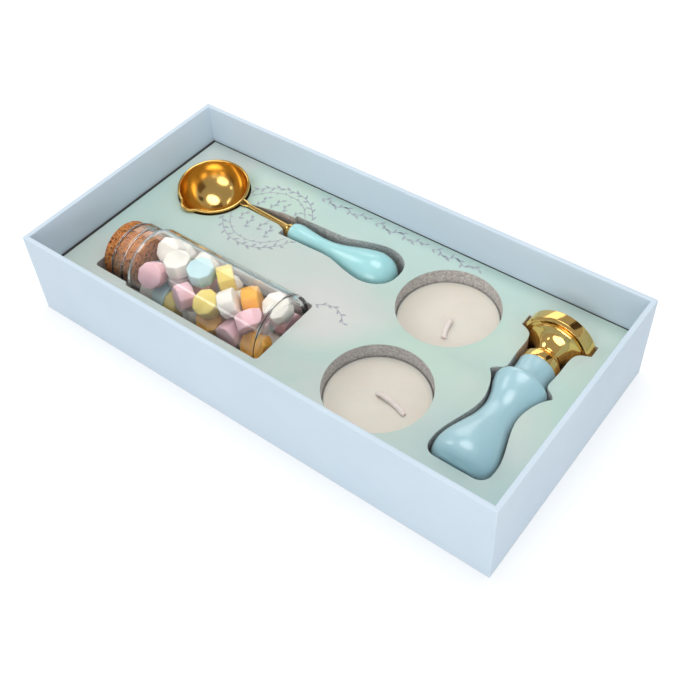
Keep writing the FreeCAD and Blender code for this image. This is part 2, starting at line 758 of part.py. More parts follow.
# where each colour lies: share of the way from the neck to the base, then from the front side (-1)
# to the back side (1)
bead_colour_spots = (
    ("pink", 0.03, -0.3), ("white", 0.08, -0.5), ("blue", 0.09, 0.2), ("white", 0.16, 0.6),
    ("white", 0.2, 0.0), ("blue", 0.12, -0.9), ("pink", 0.2, -1.0), ("mauve", 0.27, -0.35),
    ("yellow", 0.3, -0.8), ("blue", 0.4, 0.25), ("yellow", 0.4, -0.95), ("pink", 0.48, -0.25),
    ("yellow", 0.54, 0.4), ("white", 0.56, -0.1), ("amber", 0.58, -0.75), ("white", 0.63, 0.1),
    ("amber", 0.7, 0.45), ("pink", 0.64, -1.0), ("pink", 0.75, -0.15), ("white", 0.83, 0.3),
    ("amber", 0.8, -0.8), ("pink", 0.85, -0.4), ("pink", 0.93, 0.4), ("white", 0.93, -0.9),
    ("pink", 0.98, 0.0), ("amber", 0.9, 0.8))
bead_colours = ("white", "pink", "blue", "yellow", "amber", "mauve")


def bead_groups(beads):
    """Beads by colour: each spot takes the nearest bead left, and the rest are white."""
    inner_length = bottle_length - cork_insert - glass_base
    left = list(beads)
    groups = {colour: [] for colour in bead_colours}
    for colour, share_x, share_y in bead_colour_spots:
        spot = (mouth_x + cork_insert + share_x * inner_length, share_y * bottle_radius, bottle_radius / 2)
        if left:
            nearest = min(left, key=lambda bead: math.dist(bead["at"], spot))
            left.remove(nearest)
            groups[colour].append(nearest)
    groups["white"] += left
    return groups


# ================================================================ melting spoon
def spoon_placed(shape):
    """From the bowl's own frame (rim plane at 0, handle along +X) to its place on the card."""
    tilt = Rotation(Vector(0, 0, 1), spoon_yaw).multiply(
        Rotation(Vector(0, 1, 0), bowl_pitch)).multiply(Rotation(Vector(1, 0, 0), bowl_roll))
    placed = shape.copy()
    placed.Placement = Placement(Vector(bowl_x, bowl_y, bowl_z), tilt).multiply(shape.Placement)
    return placed


def bowl_cap(radius, depth):
    """A solid cap of a ball under the rim plane."""
    ball = (radius ** 2 + depth ** 2) / (2 * depth)
    sphere = Part.makeSphere(ball, Vector(0, 0, ball - depth))
    return sphere.common(Part.makeCylinder(2 * ball, depth + 1, Vector(0, 0, -depth - 1)))


def spout_cone(inset):
    """The half funnel that leads out of the rim on the near side."""
    turn = math.radians(spout_turn)
    outward = Vector(math.cos(turn), math.sin(turn), 0)
    root = outward * (spout_reach - spout_run) + Vector(0, 0, spout_rise)
    length = spout_run + inset
    return Part.makeCone(spout_root_radius - inset, spout_tip_radius - inset, length, root, outward)


def bowl_outside():
    below_rim = Part.makeCylinder(2 * bowl_radius, bowl_depth, Vector(0, 0, -bowl_depth))
    rim = Part.makeTorus(bowl_radius - bowl_wall / 2, rim_bead, Vector(0, 0, 0))
    cap = bowl_cap(bowl_radius, bowl_depth + bowl_wall)
    return cap.fuse([rim, spout_cone(0).common(below_rim)])


def spoon_bowl_shape():
    hollow = bowl_cap(bowl_radius - bowl_wall, bowl_depth)
    mouth = Part.makeCylinder(bowl_radius - bowl_wall, 2 * rim_bead, Vector(0, 0, -0.01))
    return bowl_outside().cut([hollow, mouth, spout_cone(0.6 * bowl_wall)])


def shank_shape():
    """A flat tab on the rim that draws out to a round tapered rod, then the tang inside the handle."""
    tab_start, tab_end = bowl_radius - bowl_wall, bowl_radius + shank_tab_reach
    tab = block(tab_start, tab_end, -shank_tab_half, shank_tab_half, -shank_tab, 0)
    corners = [e for e in tab.Edges if abs(e.tangentAt(e.FirstParameter).z) > 0.99
               and e.Vertexes[0].X > bowl_radius]
    tab = tab.makeFillet(shank_tab_corner, corners)
    rod_start = Vector(tab_end - shank_start_radius, 0, -shank_tab / 2)
    rod_end = Vector(handle_start, 0, -shank_drop)
    run = rod_end - rod_start
    rod = Part.makeCone(shank_start_radius, shank_end_radius, run.Length, rod_start, run)
    tang = Part.makeCylinder(tang_radius, tang_length, rod_end, handle_direction())
    return tab.fuse([rod, tang]).cut(bowl_outside())


def handle_direction():
    direction = Vector(spoon_handle_length, 0, handle_rise)
    direction.normalize()
    return direction


def along_handle(shape):
    """From a frame with the handle's front end at 0 and its axis on +X to the spoon's frame."""
    placed = shape.copy()
    place = Placement(Vector(handle_start, 0, -shank_drop), Rotation(Vector(1, 0, 0), handle_direction()))
    placed.Placement = place.multiply(shape.Placement)
    return placed


def ferrule_shape():
    outer_end = Vector(-ferrule_length, 0, ferrule_radius - ferrule_bevel)
    points = [Vector(-ferrule_length, 0, 0), outer_end,
              Vector(ferrule_bevel - ferrule_length, 0, ferrule_radius), Vector(0, 0, ferrule_radius),
              Vector(0, 0, 0)]
    ring = turned_profile(points, Vector(0, 0, 0), Vector(1, 0, 0))
    bore = Part.makeCylinder(shank_end_radius + spoon_fit, 2 * ferrule_length,
                             Vector(-1.5 * ferrule_length, 0, 0), Vector(1, 0, 0))
    return along_handle(ring.cut(bore)).cut(shank_shape())


def spoon_handle_shape():
    outline = [Vector(x, 0, radius) for x, radius in spoon_handle_stations]
    front, tail = Vector(outline[0].x, 0, 0), outline[-1]
    body = turned([edge(front, outline[0]), curve(outline), edge(tail, front)],
                  Vector(0, 0, 0), Vector(1, 0, 0))
    bore = Part.makeCylinder(tang_radius + spoon_fit, tang_length + spoon_fit,
                             Vector(0, 0, 0), Vector(1, 0, 0))
    return along_handle(body.cut(bore)).cut(shank_shape())


# ================================================================ stamp
def stamp_point(along, radius):
    return Vector(stamp_x + radius, stamp_start_y + along, stamp_z)


def stamp_turned(edges):
    return turned(edges, Vector(stamp_x, 0, stamp_z), Vector(0, 1, 0))


def stamp_handle():
    lower = [stamp_point(*s) for s in stamp_handle_stations]
    upper = [stamp_point(*s) for s in stamp_neck_stations]
    bulb_end = stamp_point(-bulb_dome, 0)
    half_way = stamp_point(-0.75 * bulb_dome, stamp_handle_stations[0][1] / 2)
    dome = Part.Arc(bulb_end, half_way, lower[0]).toShape()
    collar_end = stamp_point(stamp_handle_length, 0)
    body = stamp_turned([dome, curve(lower), curve(upper), edge(upper[-1], collar_end),
                         edge(collar_end, bulb_end)])
    return body.cut(stamp_stud())


def stamp_stud():
    start = stamp_point(stamp_handle_length - stud_in_wood, 0)
    return Part.makeCylinder(stud_radius, stud_in_wood + stud_in_head, start, Vector(0, 1, 0))


def stamp_head_outline():
    """Half section from the collar to the face: distance from the collar's seat, radius."""
    rim_back = head_length - head_rim
    ring_low, ring_high = waist_ring_at - waist_ring_half, waist_ring_at + waist_ring_half
    cone_end = rim_back - cone_back
    cone_run, cone_rise = cone_end - waist_end, cone_radius - waist_radius
    ring_back = rim_back - head_ring_back
    return ((seat_gap, 0), (seat_gap, collar_radius - head_edge), (seat_gap + head_edge, collar_radius),
            (collar_length - head_edge, collar_radius), (collar_length, collar_radius - head_edge),
            (collar_length, collar_foot), (collar_length + head_edge, waist_radius),
            (ring_low, waist_radius),
            (waist_ring_at - waist_ring_half / 2, waist_ring_radius - head_edge / 2),
            (waist_ring_at, waist_ring_radius),
            (waist_ring_at + waist_ring_half / 2, waist_ring_radius - head_edge / 2),
            (ring_high, waist_radius), (waist_end, waist_radius),
            (waist_end + 0.4 * cone_run, waist_radius + 0.22 * cone_rise),     # the cone is hollow-sided
            (waist_end + 0.75 * cone_run, waist_radius + 0.58 * cone_rise), (cone_end, cone_radius),
            (cone_end + head_edge, head_radius - groove_inner - head_edge / 2),
            (rim_back - groove_depth, head_radius - groove_inner),
            (rim_back - groove_depth, head_radius - groove_outer),
            (ring_back, head_radius - head_ring_inner),
            (ring_back, head_radius - head_ring_outer), (rim_back, head_radius - head_edge),
            (rim_back + head_edge, head_radius), (head_length - head_edge, head_radius),
            (head_length, head_radius - head_edge), (head_length, 0))


def stamp_face_cuts():
    """A ring groove and a plain rosette of petals, sunk into the face."""
    centre = Vector(stamp_x, stamp_start_y + stamp_length - engrave_depth, stamp_z)
    away = Vector(0, 1, 0)
    depth = 2 * engrave_depth
    ring = Part.makeCylinder(head_radius - engrave_ring_outer, depth, centre, away).cut(
        Part.makeCylinder(head_radius - engrave_ring_inner, depth, centre, away))
    cuts = [ring, Part.makeCylinder(engrave_centre_radius, depth, centre, away)]
    arc_radius = (petal_length ** 2 / 4 + petal_half ** 2) / (2 * petal_half)
    middle = centre + Vector(petal_from_centre + petal_length / 2, 0, 0)
    lift = Vector(0, 0, arc_radius - petal_half)
    for k in range(petal_count):
        petal = Part.makeCylinder(arc_radius, depth, middle + lift, away).common(
            Part.makeCylinder(arc_radius, depth, middle - lift, away))
        petal.rotate(centre, away, 360.0 * k / petal_count)
        cuts.append(petal)
    return cuts


def stamp_head():
    points = [stamp_point(stamp_handle_length + along, radius) for along, radius in stamp_head_outline()]
    body = turned_profile(points, Vector(stamp_x, 0, stamp_z), Vector(0, 1, 0))
    bore = Part.makeCylinder(stud_radius + stud_fit, stud_in_head + stud_end_clear,
                             stamp_point(stamp_handle_length, 0), Vector(0, 1, 0))
    return body.cut([bore] + stamp_face_cuts())


# ================================================================ build
def main():
    os.makedirs("parts", exist_ok=True)
    save("board_floor", box_floor())
    for side in ("front", "back", "left", "right"):
        save("board_wall_" + side, box_wall(side))
    save("corner_tapes", corner_tapes())
    save("wrap_paper", wrap_paper())
    save("base_paper", base_paper())
    save("floor_liner", floor_liner())
    save("foam_insert", insert_layer(floor_z, foam_top))
    save("top_card", insert_layer(foam_top, card_top))

    candles = (("front", candle_front, front_wick_root, front_wick_length, front_wick_angle),
               ("back", candle_back, back_wick_root, back_wick_length, back_wick_angle))
    for name, centre, root, length, angle in candles:
        foot = centre + root
        save("candle_%s_cup" % name, candle_cup(centre))
        save("candle_%s_wax" % name, candle_wax(centre, foot, length, angle))
        save("candle_%s_wick" % name, candle_wick(foot, length, angle, wick_radius))
        save("candle_%s_sustainer" % name, candle_sustainer(foot))

    save("bottle_glass", bottle_glass())
    save("bottle_cork", bottle_cork())
    for colour, beads in bead_groups(packed_beads()).items():
        save("beads_" + colour, Part.makeCompound([bead_solid(bead) for bead in beads]))

    save("spoon_bowl", spoon_placed(spoon_bowl_shape()))
    save("spoon_shank", spoon_placed(shank_shape()))
    save("spoon_ferrule", spoon_placed(ferrule_shape()))
    save("spoon_handle", spoon_placed(spoon_handle_shape()))

    save("stamp_handle", stamp_handle())
    save("stamp_stud", stamp_stud())
    save("stamp_head", stamp_head())
    print("box %.2f x %.2f x %.2f  beads %d" % (box_length, box_width, box_height, bead_count))


main()
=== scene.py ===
import math

import bmesh
import bpy
from mathutils import Matrix, Vector, noise
from mathutils.bvhtree import BVHTree


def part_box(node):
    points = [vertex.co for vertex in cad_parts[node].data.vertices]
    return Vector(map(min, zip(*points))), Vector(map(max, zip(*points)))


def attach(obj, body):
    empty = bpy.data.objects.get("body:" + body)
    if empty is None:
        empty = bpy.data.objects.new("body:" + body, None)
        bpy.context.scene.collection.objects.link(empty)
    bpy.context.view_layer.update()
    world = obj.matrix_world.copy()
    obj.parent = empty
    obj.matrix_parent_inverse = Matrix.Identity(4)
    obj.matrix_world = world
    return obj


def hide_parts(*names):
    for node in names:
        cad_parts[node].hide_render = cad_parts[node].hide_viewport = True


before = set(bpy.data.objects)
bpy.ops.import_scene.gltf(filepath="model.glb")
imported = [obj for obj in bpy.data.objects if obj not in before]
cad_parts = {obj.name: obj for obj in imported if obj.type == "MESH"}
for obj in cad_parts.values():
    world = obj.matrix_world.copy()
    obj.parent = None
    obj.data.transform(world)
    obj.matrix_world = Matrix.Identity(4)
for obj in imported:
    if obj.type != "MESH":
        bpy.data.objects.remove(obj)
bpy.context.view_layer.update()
mm = 0.001
print("frame loaded")


# colours and shader nodes, shared by every finish

mottleLook = {
    "detail": 5.0, "rough": 0.6, "edges": (0.35, 0.68),
    "inputs": (("Base", "Color", (0.8, 0.8, 0.8, 1)), ("Second", "Color", (0.5, 0.5, 0.5, 1)),
               ("Scale", "Float", 100.0), ("Amount", "Float", 0.5))}
grainLook = {
    "detail": 3.0, "rough": 0.65, "specks": (0.56, 0.66),
    "inputs": (("Scale", "Float", 3000.0), ("Stretch", "Vector", (1.0, 1.0, 1.0)))}
plainLook = {
    "clouds": 60.0, "cloudy": 0.5, "grain": 3000.0, "stretch": (1, 1, 1), "spread": 0.06,
    "bump": 0.3, "depth": 0.05}  # clouds and grain are scales


def tint(*values):  # sRGB bytes to a linear colour
    shares = [value / 255 for value in values]
    return (*(v / 12.92 if v < 0.04 else ((v + 0.055) / 1.055) ** 2.4 for v in shares), 1.0)


def put(tree, kind, inputs=None, **settings):
    node = tree.nodes.new(kind)
    for key, value in settings.items():
        setattr(node, key, value)
    for key, value in (inputs or {}).items():
        if isinstance(value, bpy.types.NodeSocket):
            tree.links.new(value, node.inputs[key])
        else:
            node.inputs[key].default_value = value
    return node


def calc(tree, operation, *values):
    return put(tree, "ShaderNodeMath", dict(enumerate(values)), operation=operation).outputs[0]


def calcVector(tree, operation, *values):
    node = put(tree, "ShaderNodeVectorMath", dict(enumerate(values)), operation=operation)
    return node.outputs["Value" if operation in ("DISTANCE", "LENGTH") else "Vector"]


def blend(tree, share, first, second, **settings):
    inputs = {"Factor": share, 6: first, 7: second}
    return put(tree, "ShaderNodeMix", inputs, data_type="RGBA", **settings).outputs[2]


def remap(tree, value, before=(0.0, 1.0), after=(0.0, 1.0), **settings):
    inputs = dict(enumerate((value, *before, *after)))
    return put(tree, "ShaderNodeMapRange", inputs, **settings).outputs["Result"]


def noisy(tree, place, scale, detail, rough=0.5, output="Fac"):
    inputs = {"Vector": place, "Scale": scale, "Detail": detail, "Roughness": rough}
    return put(tree, "ShaderNodeTexNoise", inputs).outputs[output]


def combined(tree, **parts):
    return put(tree, "ShaderNodeCombineXYZ", parts).outputs[0]


def objectPlace(tree):
    return put(tree, "ShaderNodeTexCoord").outputs["Object"]


def newGroup(name, inputs, outputs, kind="ShaderNodeTree"):
    group = bpy.data.node_groups.new(name, kind)
    for label, socketType, *value in inputs:
        socket = group.interface.new_socket(label, in_out="INPUT", socket_type="NodeSocket" + socketType)
        if value:
            socket.default_value = value[0]
    for label, socketType in outputs:
        group.interface.new_socket(label, in_out="OUTPUT", socket_type="NodeSocket" + socketType)
    return group, group.nodes.new("NodeGroupInput").outputs, group.nodes.new("NodeGroupOutput").inputs


def mottleGroup():  # soft clouds of a second colour over the first
    look = mottleLook
    group, start, end = newGroup("softMottle", look["inputs"], [("Color", "Color"), ("Mask", "Float")])
    cloud = noisy(group, objectPlace(group), start["Scale"], look["detail"], look["rough"])
    mask = remap(group, cloud, look["edges"])
    share = calc(group, "MULTIPLY", mask, start["Amount"])
    group.links.new(blend(group, share, start["Base"], start["Second"]), end["Color"])
    group.links.new(mask, end["Mask"])
    return group


def grainGroup():  # fine tooth for bump and roughness
    look = grainLook
    group, start, end = newGroup("fineGrain", look["inputs"], [("Height", "Float"), ("Specks", "Float")])
    place = calcVector(group, "MULTIPLY", objectPlace(group), start["Stretch"])
    fine = noisy(group, place, start["Scale"], look["detail"], look["rough"])
    group.links.new(fine, end["Height"])
    group.links.new(remap(group, fine, look["specks"]), end["Specks"])
    return group


softMottle = mottleGroup()
fineGrain = grainGroup()


def useGroup(tree, group, **inputs):
    return put(tree, "ShaderNodeGroup", inputs, node_tree=group)


def mottled(tree, look):
    base, second = (tint(*tone) for tone in look["tones"])
    group = useGroup(tree, softMottle, Base=base, Second=second, Scale=look["clouds"], Amount=look["cloudy"])
    return group.outputs["Color"], group.outputs["Mask"]


def newFinish(name, constants):
    material = bpy.data.materials.new(name)
    material.use_nodes = True
    for key, value in constants.items():
        material.node_tree.nodes["Principled BSDF"].inputs[key].default_value = value
    return material, material.node_tree


def cover(tree, colour, mask, rough, height, look):  # colour, roughness and bump of a finish
    shader = tree.nodes["Principled BSDF"]
    tree.links.new(colour, shader.inputs["Base Color"])
    tree.links.new(remap(tree, mask, after=rough), shader.inputs["Roughness"])
    bump = put(tree, "ShaderNodeBump", {
        "Strength": look["bump"], "Distance": look["depth"] * mm, "Height": height})
    tree.links.new(bump.outputs["Normal"], shader.inputs["Normal"])


def waxy(weight, radius, scale):  # light that spreads under the surface
    return {"Subsurface Weight": weight, "Subsurface Radius": radius, "Subsurface Scale": scale}


def finish(name, own):  # a solid finish from one dictionary of plain values
    look = {**plainLook, **own}
    material, tree = newFinish(name, look.get("shader", {}))
    colour, mask = mottled(tree, look)
    grain = useGroup(tree, fineGrain, Scale=look["grain"], Stretch=look["stretch"])
    if "speck" in look:
        share = calc(tree, "MULTIPLY", grain.outputs["Specks"], look["specks"])
        colour = blend(tree, share, colour, tint(*look["speck"]))
    rough, spread = look["rough"], look["spread"]
    cover(tree, colour, mask, (rough - spread, rough + spread), grain.outputs["Height"], look)
    return material


def paint(node, material):  # for a CAD node that shows as it is
    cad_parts[node].material_slots[0].material = material


# mesh tools

pole = 1e-4  # mm, a smaller ring is drawn as one point
cornerShare = 0.48  # the most of a side that a rounded corner takes


def added(name, data):
    obj = bpy.data.objects.new(name, data)
    bpy.context.scene.collection.objects.link(obj)
    return obj


def newObject(name, verts, faces):
    mesh = bpy.data.meshes.new(name)
    mesh.from_pydata([tuple(v) for v in verts], [], faces)
    return added(name, mesh)


def tidied(obj, reach=1e-7, flat=0.0):  # joined up and facing out, with its flat faces whole if asked
    work = bmesh.new()
    work.from_mesh(obj.data)
    bmesh.ops.remove_doubles(work, verts=work.verts, dist=reach)
    if flat:
        bmesh.ops.dissolve_limit(work, angle_limit=math.radians(flat), verts=work.verts, edges=work.edges)
    bmesh.ops.recalc_face_normals(work, faces=work.faces)
    work.to_mesh(obj.data)
    work.free()
    return obj


def dress(obj, material, body, replaced, angle=0):  # edges sharper than angle keep their crease
    if angle:
        for face in obj.data.polygons:
            face.use_smooth = True
        obj.data.set_sharp_from_angle(angle=math.radians(angle))
    obj.data.materials.clear()
    obj.data.materials.append(material)
    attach(obj, body)
    if replaced:
        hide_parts(replaced)


def plainMesh(obj):  # what the modifiers make of it
    graph = bpy.context.evaluated_depsgraph_get()
    return bpy.data.meshes.new_from_object(obj.evaluated_get(graph))


def baked(obj):
    mesh = plainMesh(obj)
    obj.modifiers.clear()
    obj.data = mesh


def softened(obj, width, segments, angle, clamped=True):
    bevel = obj.modifiers.new("edge", "BEVEL")
    bevel.width = width * mm
    bevel.segments = segments
    bevel.limit_method = "ANGLE"
    bevel.angle_limit = math.radians(angle)
    bevel.use_clamp_overlap = clamped
    baked(obj)


def cadCopy(node, name):
    obj = added(name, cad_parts[node].data.copy())
    obj.data.name = name
    return tidied(obj, reach=1e-6, flat=1.0)


def eased(t):
    t = min(1, max(0, t))
    return t * t * (3 - 2 * t)


def rounded(points, steps=5):  # (along, radius, corner) in mm to rows with the corners rounded
    rows = []
    last = len(points) - 1
    for i, point in enumerate(points):
        corner = point[2] if len(point) > 2 else 0
        here = Vector(point[:2])
        if corner <= 0 or i in (0, last):
            rows.append(tuple(here))
            continue
        before, after = Vector(points[i - 1][:2]) - here, Vector(points[i + 1][:2]) - here
        reach = min(corner, cornerShare * before.length, cornerShare * after.length)
        a, b = here + before.normalized() * reach, here + after.normalized() * reach
        for k in range(steps + 1):
            t = k / steps
            rows.append(tuple(a * (1 - t) ** 2 + here * 2 * t * (1 - t) + b * t * t))
    return rows


def flowing(stations, steps=8, closeTip=False):  # a smooth line through the stations
    points = [Vector(s) for s in stations]
    after = Vector((points[-2].x, -points[-2].y)) if closeTip else points[-1] * 2 - points[-2]
    line = [points[0] * 2 - points[1]] + points + [after]
    rows = []
    for i in range(1, len(line) - 2):
        p0, p1, p2, p3 = line[i - 1:i + 3]
        for k in range(steps):
            t = k / steps
            rows.append(tuple(0.5 * (2 * p1 + (p2 - p0) * t + (2 * p0 - 5 * p1 + 4 * p2 - p3) * t ** 2
                                     + (3 * p1 - p0 - 3 * p2 + p3) * t ** 3)))
    rows.append(tuple(points[-1]))
    return rows


def circle(steps):
    return [2 * math.pi * k / steps for k in range(steps)]


def skinned(name, sections, closed=False, capped=False):  # a skin over rings of points
    verts, rings, faces = [], [], []
    for section in sections:
        rings.append(list(range(len(verts), len(verts) + len(section))))
        verts += section
    for a, b in zip(rings, rings[1:] + rings[:1] * closed):
        count = max(len(a), len(b))
        for k in range(count):
            n = (k + 1) % count
            if len(a) > 1 and len(b) > 1:
                faces.append((a[k], a[n], b[n], b[k]))
            elif len(b) > 1:
                faces.append((a[0], b[n], b[k]))
            elif len(a) > 1:
                faces.append((a[k], a[n], b[0]))
    if capped:
        faces += [tuple(rings[0]), tuple(rings[-1])]
    return tidied(newObject(name, verts, faces))


def turned(name, rows, place, steps=96, closed=False):  # rows of (along, radius) in mm, round local Z
    sections = []
    for along, radius in rows:
        ring = [(radius * math.cos(a), radius * math.sin(a)) for a in circle(steps)]
        sections.append([
            place @ Vector((x * mm, y * mm, along * mm)) for x, y in (ring if radius >= pole else [(0, 0)])])
    return skinned(name, sections, closed)


def facing(centre, direction):  # local Z along a direction, origin at a point in mm
    turn = Vector(direction).to_track_quat("Z", "Y").to_matrix().to_4x4()
    return Matrix.Translation(Vector(centre) * mm) @ turn


def nodeBox(name):
    low, high = (Vector(corner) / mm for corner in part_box(name))
    return low, high, [(a + b) / 2 for a, b in zip(low, high)]


# the box

boxLook = {"corner": 0.5, "innerCorner": 0.05, "rimRound": 0.45, "paper": 0.2, "cornerSteps": 6}

boxPaper = finish("paleBluePaper", {
    "tones": ((207, 222, 234), (200, 216, 229)), "clouds": 25.0, "cloudy": 0.6, "grain": 2600.0,
    "bump": 0.35, "depth": 0.06, "rough": 0.62, "shader": {"Specular IOR Level": 0.35}})


def roundedLoop(halfX, halfY, radius, z, steps):
    loop = []
    for sx, sy, start in ((1, 1, 0), (-1, 1, 90), (-1, -1, 180), (1, -1, 270)):
        for k in range(steps + 1):
            angle = math.radians(start + 90 * k / steps)
            loop.append(Vector((sx * (halfX - radius) + radius * math.cos(angle),
                sy * (halfY - radius) + radius * math.sin(angle), z)) * mm)
    return loop


def makeWrap():
    low, high = nodeBox("wrap_paper")[:2]
    skin, rim = boxLook["paper"], boxLook["rimRound"]
    thick = nodeBox("board_wall_left")[1].x - low.x + skin
    # the turned-in paper ends at the card's top, and below it the board shows in the gap as a painted shadow
    # line
    top, inside = high.z, nodeBox("top_card")[1].z
    section = rounded([
        (0, low.z), (0, top, rim), (thick, top, rim), (thick, inside), (thick - skin, inside),
        (thick - skin, top - skin, rim - skin), (skin, top - skin, rim - skin), (skin, low.z)])
    rings = []
    for depth, z in section:
        radius = max(boxLook["corner"] - depth, boxLook["innerCorner"])
        rings.append(roundedLoop(high.x - depth, high.y - depth, radius, z, boxLook["cornerSteps"]))
    wrap = skinned("boxWrap", rings, closed=True)
    dress(wrap, boxPaper, "box", "wrap_paper", angle=40)


makeWrap()

# painted shade: the grey board is coloured much darker than bare board, so where it shows in the narrow gap
# between the card and the box wall it draws a dark shadow line
greyBoardAndGapShade = finish("greyBoardAndGapShade", {
    "tones": ((122, 121, 118), (104, 103, 101)), "clouds": 300.0, "grain": 2500.0, "speck": (84, 82, 80),
    "specks": 0.5, "bump": 0.5, "depth": 0.1, "rough": 0.85})
stayTape = finish("stayTape", {
    "tones": ((214, 196, 160), (204, 184, 146)), "clouds": 200.0, "grain": 2000.0, "rough": 0.7})
basePaper = finish("basePaper", {
    "tones": ((226, 230, 234), (216, 221, 226)), "clouds": 40.0, "grain": 2600.0, "rough": 0.7})
linerPaper = finish("linerPaper", {
    "tones": ((206, 210, 214), (190, 194, 198)), "clouds": 60.0, "grain": 2400.0, "rough": 0.75})
for board in ("floor", "wall_front", "wall_back", "wall_left", "wall_right"):
    paint("board_" + board, greyBoardAndGapShade)
paint("corner_tapes", stayTape)
paint("base_paper", basePaper)
paint("floor_liner", linerPaper)
print("box done")


# the insert and its card face

foamLook = {
    "tones": ((216, 211, 208), (160, 153, 150)), "clouds": 1100.0, "cloudy": 0.95, "grain": 2600.0,
    "speck": (236, 233, 231), "specks": 0.6, "bump": 1.0, "depth": 0.3, "rough": 0.92, "spread": 0.03,
    "shader": {"Specular IOR Level": 0.15}}
paint("foam_insert", finish("greyFoam", foamLook))

# each wash: colour, scale, where it starts and ends in the noise, and its most
cardLook = {
    "mint": (186, 209, 202), "mist": (211, 212, 208), "green": (190, 215, 196), "pool": (174, 203, 201),
    "core": (206, 216, 210), "edge": 0.12, "edgeAngle": 60, "edgeSteps": 2, "warpScale": 14.0,
    "warpDetail": 3.0, "warp": 0.035, "washDetail": 4.0, "washStart": 0.11, "washStep": (0.37, 0.21),
    "washes": (("mist", 17.0, 0.46, 0.64, 0.6), ("green", 11.0, 0.5, 0.68, 0.6),
               ("pool", 9.0, 0.52, 0.7, 0.6)),
    "cloudAt": (1.0, -3.0, 19.3), "cloudReach": (27.0, 9.0), "cloudMost": 0.9, "upward": (0.8, 0.95),
    "grain": 2200.0, "bump": 0.25, "depth": 0.04, "rough": (0.5, 0.62),
    "shader": {"Specular IOR Level": 0.3}}


def cardFinish():
    look = cardLook
    material, tree = newFinish("printedCard", look["shader"])
    place = objectPlace(tree)
    bend = noisy(tree, place, look["warpScale"], look["warpDetail"], output="Color")
    warp = look["warp"]
    shift = calcVector(tree, "MULTIPLY_ADD", bend, (warp, warp, 0.0), (-warp / 2, -warp / 2, 0.0))
    warped = calcVector(tree, "ADD", place, shift)
    stepX, stepY = look["washStep"]
    colour = tint(*look["mint"])
    for i, (name, scale, low, high, most) in enumerate(look["washes"]):
        offset = calcVector(tree, "ADD", warped, (stepX * i + look["washStart"], stepY * i, 0.0))
        wash = noisy(tree, offset, scale, look["washDetail"])
        share = remap(tree, wash, (low, high), (0.0, most), interpolation_type="SMOOTHSTEP")
        colour = blend(tree, share, colour, tint(*look[name]))
    away = calcVector(tree, "DISTANCE", warped, tuple(value * mm for value in look["cloudAt"]))
    far, near = look["cloudReach"]
    cloud = remap(tree, away, (far * mm, near * mm), (0.0, look["cloudMost"]),
        interpolation_type="SMOOTHSTEP")
    colour = blend(tree, cloud, colour, tint(*look["mist"]))
    shape = put(tree, "ShaderNodeNewGeometry")
    split = put(tree, "ShaderNodeSeparateXYZ", {"Vector": shape.outputs["Normal"]})
    faced = blend(tree, remap(tree, split.outputs["Z"], look["upward"]), tint(*look["core"]), colour)
    height = useGroup(tree, fineGrain, Scale=look["grain"]).outputs["Height"]
    cover(tree, faced, height, look["rough"], height, look)
    return material


def makeCard():
    card = cadCopy("top_card", "insertCard")
    tree = BVHTree.FromPolygons([v.co for v in card.data.vertices], [f.vertices for f in card.data.polygons])
    softened(card, cardLook["edge"], cardLook["edgeSteps"], cardLook["edgeAngle"], clamped=False)
    dress(card, cardFinish(), "box", "top_card", angle=30)
    return tree


cardTree = makeCard()
print("insert done")


# printed sprigs on the card: a curve with leaves along it, each with its leaf spacing and leaf length

sprigLook = {
    "inks": ((163, 166, 180), (176, 184, 184)), "line": 0.34, "leafWidth": 0.4, "seed": 4, "lean": 0.75,
    "jitter": 0.25, "lift": 0.02, "probe": 0.1, "level": 0.99, "curveSteps": 10, "wreathAt": (-47.0, 23.0),
    "ringPoints": 8, "rings": (("outerRing", 17.5, 2.2, 2.6), ("innerRing", 14.6, 3.2, 1.5)),
    "stalks": ((-9, -7, 0.3), (-4, -9.5, -0.2), (1, -8, 0.4), (6, -10, -0.3),
               (-8, 1.5, 0.2), (-2.5, 3, 0.3), (3, 2, -0.3), (8, 1, 0.2)),
    "stalkPoints": 4, "stalkBend": 0.35, "stalkStep": 2.4, "stalkLeaves": (1.5, 2.4),
    "vines": ((-36.0, -14.0), (-10.0, 12.0), (16.0, 36.0)), "vineY": 43.6,
    "vinePoints": 8, "vineWave": 1.1, "vinePace": 1.9, "vineLeaves": (1.8, 2.4),
    "front": ((-2.0, -3.5), (3.5, -1.0), (7.5, -2.0), (11.5, -5.5)), "frontLeaves": (2.2, 2.2),
    "leaf": ((0.0, 0.0), (0.18, 0.3), (0.42, 0.5), (0.68, 0.36), (1.0, 0.0))}

sprigInk = finish("sprigInk", {
    "tones": sprigLook["inks"], "clouds": 180.0, "cloudy": 0.8, "grain": 2200.0, "bump": 0.1, "rough": 0.6})


def leafShape():
    half = list(sprigLook["leaf"])
    outline = half + [(x, -y) for x, y in reversed(half[1:-1])]
    return newObject("leafShape", [(x, y, 0) for x, y in outline], [tuple(range(len(outline)))])


